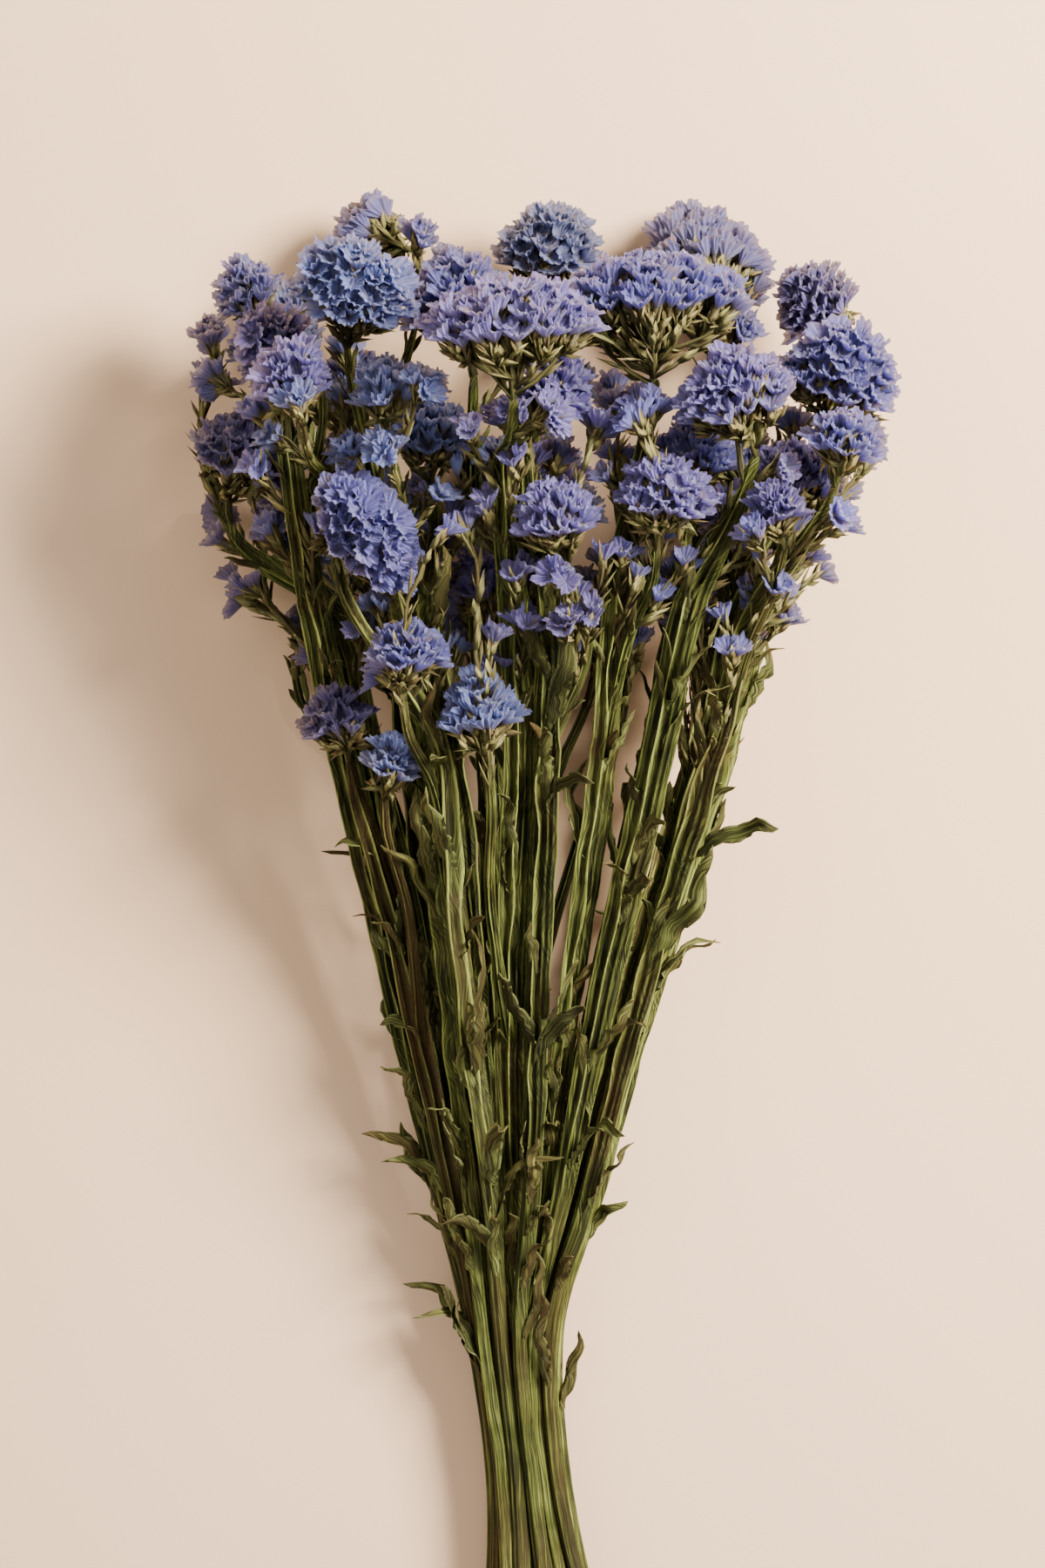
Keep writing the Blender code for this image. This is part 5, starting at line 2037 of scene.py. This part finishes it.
def fibre_effect() -> NodeTree:
    """Fibres that run along a stem, leaf or calyx.

    Noise is read at the weave, with across times the input's count and along drawn out, once
    coarse and once fine, and the two are added.

    Returns:
        The node group.
    """
    inputs = {"Weave": None, "Fibres per mm": 1.0, "Drawn out": 0.05}
    group, nodes, (start, end) = shared_effect("dried_fibres", inputs, ("Lines", "Fine"))
    across, along, mark = nodes.parts(start.outputs["Weave"])
    wide = nodes.times(across, start.outputs["Fibres per mm"])
    drawn = nodes.times(along, start.outputs["Drawn out"])
    coarse = nodes.noise(nodes.vector(wide, drawn, mark), 1.0, 2.0)
    finer = nodes.vector(nodes.times(wide, 3.1), drawn, mark)
    fine = nodes.noise(finer, 1.0, 3.0)
    lines = nodes.plus(nodes.times(coarse, 0.6), nodes.times(fine, 0.4))
    lines = nodes.between(lines, 0.40, 0.60)
    nodes.fill(end, {"Lines": lines, "Fine": nodes.between(fine, 0.3, 0.7)})
    return group


def mottle_effect() -> NodeTree:
    """Uneven drying: soft patches of two sizes on Object coordinates.

    Returns:
        The node group.
    """
    group, nodes, (_, end) = shared_effect("uneven_drying", {}, ("Patches", "Specks"))
    patches = nodes.between(nodes.noise(nodes.place(), 60.0, 2.0), 0.35, 0.65)
    specks = nodes.between(nodes.noise(nodes.place(), 420.0, 3.0), 0.35, 0.7)
    nodes.fill(end, {"Patches": patches, "Specks": specks})
    return group


@dataclass(frozen=True)
class Finish:
    """What all finishes of the bunch share: two effects and a dry surface."""

    fibres: NodeTree
    mottle: NodeTree

    def start(self, name: str) -> tuple[Material, Nodes, Node]:
        """A new material.

        Args:
            name: Its name.

        Returns:
            The material, its nodes and its Principled shader.
        """
        material = bpy.data.materials.new(name)
        material.use_nodes = True
        nodes = Nodes(material.node_tree)
        return material, nodes, material.node_tree.nodes["Principled BSDF"]

    def relief(self, nodes: Nodes, shader: Node, height: object, depth: float) -> None:
        """A bump from the height's socket, its full relief being a depth in metres."""
        values = {"Strength": 0.8, "Distance": depth, "Height": height}
        nodes.fill(shader, {"Normal": nodes.fill(nodes.add("ShaderNodeBump"), values).outputs[0]})

    def papery(self, nodes: Nodes, shader: Node, colour: object, share: float) -> None:
        """Lets a share of the light through, as thin dry tissue does.

        Args:
            nodes: The material's nodes.
            shader: Its shader.
            colour: The colour's socket.
            share: How much light goes through.
        """
        glow = nodes.add("ShaderNodeBsdfTranslucent", colour)
        mix = nodes.add("ShaderNodeMixShader", share, shader.outputs[0], glow.outputs[0])
        nodes.fill(nodes.tree.nodes["Material Output"], {"Surface": mix.outputs[0]})


@dataclass(frozen=True)
class CalyxFinish(Finish):
    """Papery calyx: tan tube, a dark throat of painted shade, violet-blue funnel with a lighter
    rim, partly a painted highlight and partly random tone.
    """

    body: tuple
    light: tuple
    # throat is painted shade: it darkens and greys the funnel's narrow bottom, inside and out.
    throat: tuple = (0.29, 0.25, 0.42)
    tube: tuple = (0.27, 0.22, 0.08)
    faded: tuple = (0.37, 0.335, 0.42)
    rust: tuple = (0.42, 0.26, 0.20)
    # Painted shade: the dull grey-violet that florets low in the bunch are mixed towards.
    painted_low_shade: tuple = (0.23, 0.20, 0.235)

    def material(self, name: str) -> Material:
        """The calyx material of one shade.

        Args:
            name: Its name.

        Returns:
            The material.
        """
        material, nodes, shader = self.start(name)
        share, tone, brown = nodes.parts(nodes.attribute("look"))
        pleats = nodes.effect(self.fibres, nodes.attribute("weave"), 1.1, 0.25)
        patches = nodes.effect(self.mottle)
        # Painted shade: from the tan tube the colour runs through the darker, greyer throat at the
        # funnel's bottom before the body colour.
        colour = nodes.mix(nodes.between(share, 0.36, 0.52), self.tube, self.throat)
        colour = nodes.mix(nodes.between(share, 0.48, 0.82), colour, self.body)
        # Lighter towards the rim: partly a painted highlight where the rim catches the light,
        # partly each floret's random tone and pleat streaks.
        lift = nodes.times(nodes.between(share, 0.62, 1.02), 0.5)
        lift = nodes.times(lift, nodes.plus(tone, 0.25), clamp=True)
        lift = nodes.plus(lift, nodes.times(pleats.outputs["Lines"], 0.22))
        lift = nodes.times(lift, nodes.between(share, 0.45, 0.7), clamp=True)
        colour = nodes.mix(lift, colour, self.light)
        fade = nodes.times(patches.outputs["Patches"], 0.35)
        fade = nodes.times(fade, nodes.between(share, 0.45, 0.7))
        colour = nodes.mix(fade, colour, self.light)
        grey = nodes.times(nodes.between(tone, 0.5, 1.0), patches.outputs["Specks"])
        colour = nodes.mix(nodes.times(grey, 0.6, clamp=True), colour, self.faded)
        # Painted shade: florets low in the bunch, near the floor and under the others, are dulled
        # and darkened.
        height = nodes.parts(nodes.place())[2]
        low = nodes.times(nodes.between(height, 0.10, 0.03), 0.35)
        colour = nodes.mix(low, colour, self.painted_low_shade)
        aged = nodes.times(brown, nodes.between(share, 0.3, 0.9))
        aged = nodes.times(aged, patches.outputs["Specks"], clamp=True)
        colour = nodes.mix(aged, colour, self.rust)
        rough = nodes.math("MULTIPLY_ADD", pleats.outputs["Fine"], 0.15, 0.68)
        nodes.fill(shader, {"Base Color": colour, "Roughness": rough})
        nodes.fill(shader, {"Specular IOR Level": 0.25, "Sheen Weight": 0.25})
        nodes.fill(shader, {"Subsurface Weight": 0.7, "Subsurface Scale": 0.004})
        nodes.fill(shader, {"Subsurface Radius": (1.0, 1.0, 1.0)})
        self.relief(nodes, shader, pleats.outputs["Lines"], 0.0006)
        self.papery(nodes, shader, colour, 0.5)
        return material


@dataclass(frozen=True)
class GreenFinish(Finish):
    """Dried stem, leaf or bract: fibrous olive green, lighter edges, brown where it aged.
    On stems the lighter crests and edges are a painted highlight and the darker grooves painted
    shade.
    """

    dark: tuple = (0.013, 0.012, 0.003)
    green: tuple = (0.158, 0.182, 0.026)
    light: tuple = (0.50, 0.54, 0.13)
    brown: tuple = (0.20, 0.105, 0.035)
    count: float = 1.5
    glow: float = 0.0
    # How strongly grooves are darkened: painted shade.
    painted_groove_shade: float = 0.0

    def material(self, name: str) -> Material:
        """The material of one green part.

        Args:
            name: Its name.

        Returns:
            The material.
        """
        material, nodes, shader = self.start(name)
        edge, tone, brown = nodes.parts(nodes.attribute("look"))
        fibres = nodes.effect(self.fibres, nodes.attribute("weave"), self.count, 0.035)
        patches = nodes.effect(self.mottle)
        lines = fibres.outputs["Lines"]
        colour = nodes.mix(lines, self.dark, self.green)
        dull = nodes.times(nodes.between(tone, 0.8, 0.1), 0.6)
        colour = nodes.mix(dull, colour, self.dark)
        # Painted shade: where the first part of look is low, in a stem's grooves, the colour
        # darkens.
        painted_shade_in_grooves = nodes.math("SUBTRACT", 1.0, nodes.between(edge, 0.05, 0.5))
        colour = nodes.mix(nodes.times(painted_shade_in_grooves, self.painted_groove_shade), colour, self.dark)
        # Lighter edges: on stems a painted highlight on crests and wing edges; on leaves and bracts
        # their paler margins.
        rim = nodes.times(nodes.between(edge, 0.66, 0.95), 0.8)
        rim = nodes.times(rim, nodes.plus(fibres.outputs["Fine"], 0.3), clamp=True)
        colour = nodes.mix(rim, colour, self.light)
        pale = nodes.times(patches.outputs["Patches"], nodes.times(tone, 0.3))
        pale = nodes.times(pale, nodes.plus(lines, 0.2), clamp=True)
        colour = nodes.mix(pale, colour, self.light)
        aged = nodes.math("MULTIPLY_ADD", patches.outputs["Specks"], 0.25, 0.8)
        aged = nodes.times(aged, brown, clamp=True)
        colour = nodes.mix(aged, colour, self.brown)
        rough = nodes.math("MULTIPLY_ADD", fibres.outputs["Fine"], 0.2, 0.55)
        values = {"Base Color": colour, "Roughness": rough, "Specular IOR Level": 0.2}
        nodes.fill(shader, values)
        self.relief(nodes, shader, lines, 0.0010)
        if self.glow:
            self.papery(nodes, shader, colour, self.glow)
        return material


@dataclass(frozen=True)
class FloorFinish(Finish):
    """Pale warm floor, with a faint cloud in its tone."""

    base: tuple = (0.96, 0.63, 0.37)
    other: tuple = (0.96, 0.65, 0.42)

    def material(self, name: str) -> Material:
        """The floor's material.

        Args:
            name: Its name.

        Returns:
            The material.
        """
        material, nodes, shader = self.start(name)
        cloud = nodes.between(nodes.noise(nodes.place(), 2.2, 2.0), 0.3, 0.7)
        colour = nodes.mix(cloud, self.base, self.other)
        values = {"Base Color": colour, "Roughness": 0.9, "Specular IOR Level": 0.15}
        nodes.fill(shader, values)
        return material


class Bunch:
    """The whole bunch: its layout, its finishes and its pieces."""

    def __init__(self) -> None:
        """Settles the layout and makes the finishes."""
        self.layout = Layout()
        self.layout.solve()
        self.leaves = LeafRoom(self.layout)
        self.leaves.place_leaves()
        self.room = SprigRoom(self.layout)
        self.room.place()
        LOG.info("side shoots: %d", len(self.room.lines))
        fibres, mottle = fibre_effect(), mottle_effect()
        shades = (
            (MID, "calyx_violet_blue", (0.25, 0.23, 0.64), (0.30, 0.295, 0.69)),
            (PALE, "calyx_sky_blue", (0.25, 0.305, 0.66), (0.305, 0.365, 0.71)),
            (LILAC, "calyx_lilac", (0.335, 0.275, 0.67), (0.41, 0.35, 0.72)),
            (DEEP, "calyx_deep_violet", (0.20, 0.15, 0.49), (0.25, 0.20, 0.57)),
        )
        self.calyx = {
            shade: CalyxFinish(fibres, mottle, body, light).material(name)
            for shade, name, body, light in shades
        }
        # The stems' grooves take painted shade.
        self.stem = GreenFinish(fibres, mottle, painted_groove_shade=0.95).material("dried_stem")
        green, light = (0.19, 0.215, 0.048), (0.44, 0.47, 0.15)
        leaf = GreenFinish(fibres, mottle, green=green, light=light, count=1.1, glow=0.15)
        self.leaf = leaf.material("dried_leaf")
        self.bract = GreenFinish(
            fibres,
            mottle,
            dark=(0.042, 0.040, 0.010),
            green=(0.150, 0.155, 0.036),
            light=(0.37, 0.36, 0.12),
            brown=(0.32, 0.19, 0.085),
            count=2.4,
        ).material("dried_bract")
        self.floor = FloorFinish(fibres, mottle).material("pale_floor")

    def build(self) -> None:
        """Makes every flower head and every leafy stem."""
        rng = np.random.default_rng(SEED)
        openness = (1.0, 1.05, 0.92, 0.86, 1.08, 0.78, 0.97, 0.66)
        forms = [Calyx().surface(rng, share) for share in openness]
        for spray in range(len(SPRAYS)):
            heads = []
            numbers = [k for k, h in enumerate(self.layout.heads) if h.spray == spray]
            lines = [line for owner, line in self.room.lines if owner == spray]
            sprigs = [Sprig(9000 + 50 * spray + k, line) for k, line in enumerate(lines)]
            for letter, number in zip("abc", numbers):
                head = FlowerHead(SEED + 10 * number, self.layout, number)
                heads.append(head)
                shade = head.head.shade
                label = f"{spray + 1:02d}_{letter}"
                gathering = Gathering()
                head.calyces(gathering, forms)
                if letter == "a":
                    for sprig in sprigs:
                        sprig.calyces(gathering, forms)
                nodes = (f"flower_head_{label}",)
                finishes = [self.calyx[shade]]
                gathering.piece(f"calyces_{label}", finishes, nodes, shade.value, False)
            blades = [b for b in self.leaves.blades if b.spray == spray]
            stem = Stem(self.layout, spray, blades, self.leaves, SEED + 1000 + spray)
            nodes = (f"leafy_stem_{spray + 1:02d}",)
            finishes = [self.stem, self.leaf, self.bract]
            name = f"winged_stem_{spray + 1:02d}"
            stem.build(heads, sprigs).piece(name, finishes, nodes, "stem_green", True)


@dataclass(frozen=True)
class Studio:
    """The floor, the soft light and the camera over the bunch.

    The camera's sizes are in millimetres, those of the floor and lamps in metres. A lamp is
    its name, place, side, power in watts and colour: daylight from the upper right and a
    faint fill.
    """

    view_middle: tuple = (-7.3, 60.9, 70.0)
    view_height: float = 652.0
    distance: float = 2300.0
    sensor: float = 36.0
    floor_half: float = 4.0
    floor_drop: float = 0.0002
    lamps: tuple = (
        ("window", (1.15, 0.75, 1.10), 0.65, 130, (1.0, 0.97, 0.92)),
        ("fill", (-1.3, 0.3, 1.7), 1.6, 14, (1.0, 0.96, 0.92)),
    )
    surround: tuple = (1.0, 0.95, 0.90, 1)
    surround_strength: float = 0.52

    def floor(self, material: Material) -> None:
        """A wide level floor under the bunch.

        Args:
            material: Its material.
        """
        mesh = bpy.data.meshes.new("floor")
        half = self.floor_half
        corners = [(-half, -half, 0), (half, -half, 0), (half, half, 0), (-half, half, 0)]
        mesh.from_pydata(corners, [], [(0, 1, 2, 3)])
        mesh.materials.append(material)
        thing = in_scene("floor", mesh)
        thing.location.z = -self.floor_drop

    def lamp(self, name: str, place: tuple, size: float, power: float, colour: tuple) -> None:
        """A square soft light that faces the bunch.

        Args:
            name: Its name.
            place: Where it stands, in metres.
            size: Its side in metres.
            power: Its power in watts.
            colour: Its colour.
        """
        light = bpy.data.lights.new(name, "AREA")
        light.size = size
        light.energy = power
        light.color = colour
        thing = in_scene(name, light)
        thing.location = place
        aim = Vector(self.view_middle) * MM - Vector(place)
        thing.rotation_euler = aim.to_track_quat("-Z", "Y").to_euler()

    def light(self) -> None:
        """The lamps and a pale surround."""
        for lamp in self.lamps:
            self.lamp(*lamp)
        world = bpy.data.worlds.new("surround")
        bpy.context.scene.world = world
        world.use_nodes = True
        back = world.node_tree.nodes["Background"]
        back.inputs[0].default_value = self.surround
        back.inputs[1].default_value = self.surround_strength

    def camera(self) -> None:
        """A camera straight over the bunch, its stems running out of the lower edge."""
        data = bpy.data.cameras.new("camera")
        data.sensor_fit = "VERTICAL"
        data.sensor_height = self.sensor
        data.lens = self.sensor * self.distance / self.view_height
        data.clip_end = 50
        thing = in_scene("camera", data)
        x, y, z = self.view_middle
        thing.location = (x * MM, y * MM, (z + self.distance) * MM)
        bpy.context.scene.camera = thing


def main() -> None:
    """Builds the bunch, then the floor, the light and the camera."""
    logging.basicConfig(level=logging.INFO, format="%(message)s")
    bunch = Bunch()
    bunch.build()
    studio = Studio()
    studio.floor(bunch.floor)
    studio.light()
    studio.camera()


if __name__ == "__main__":
    main()
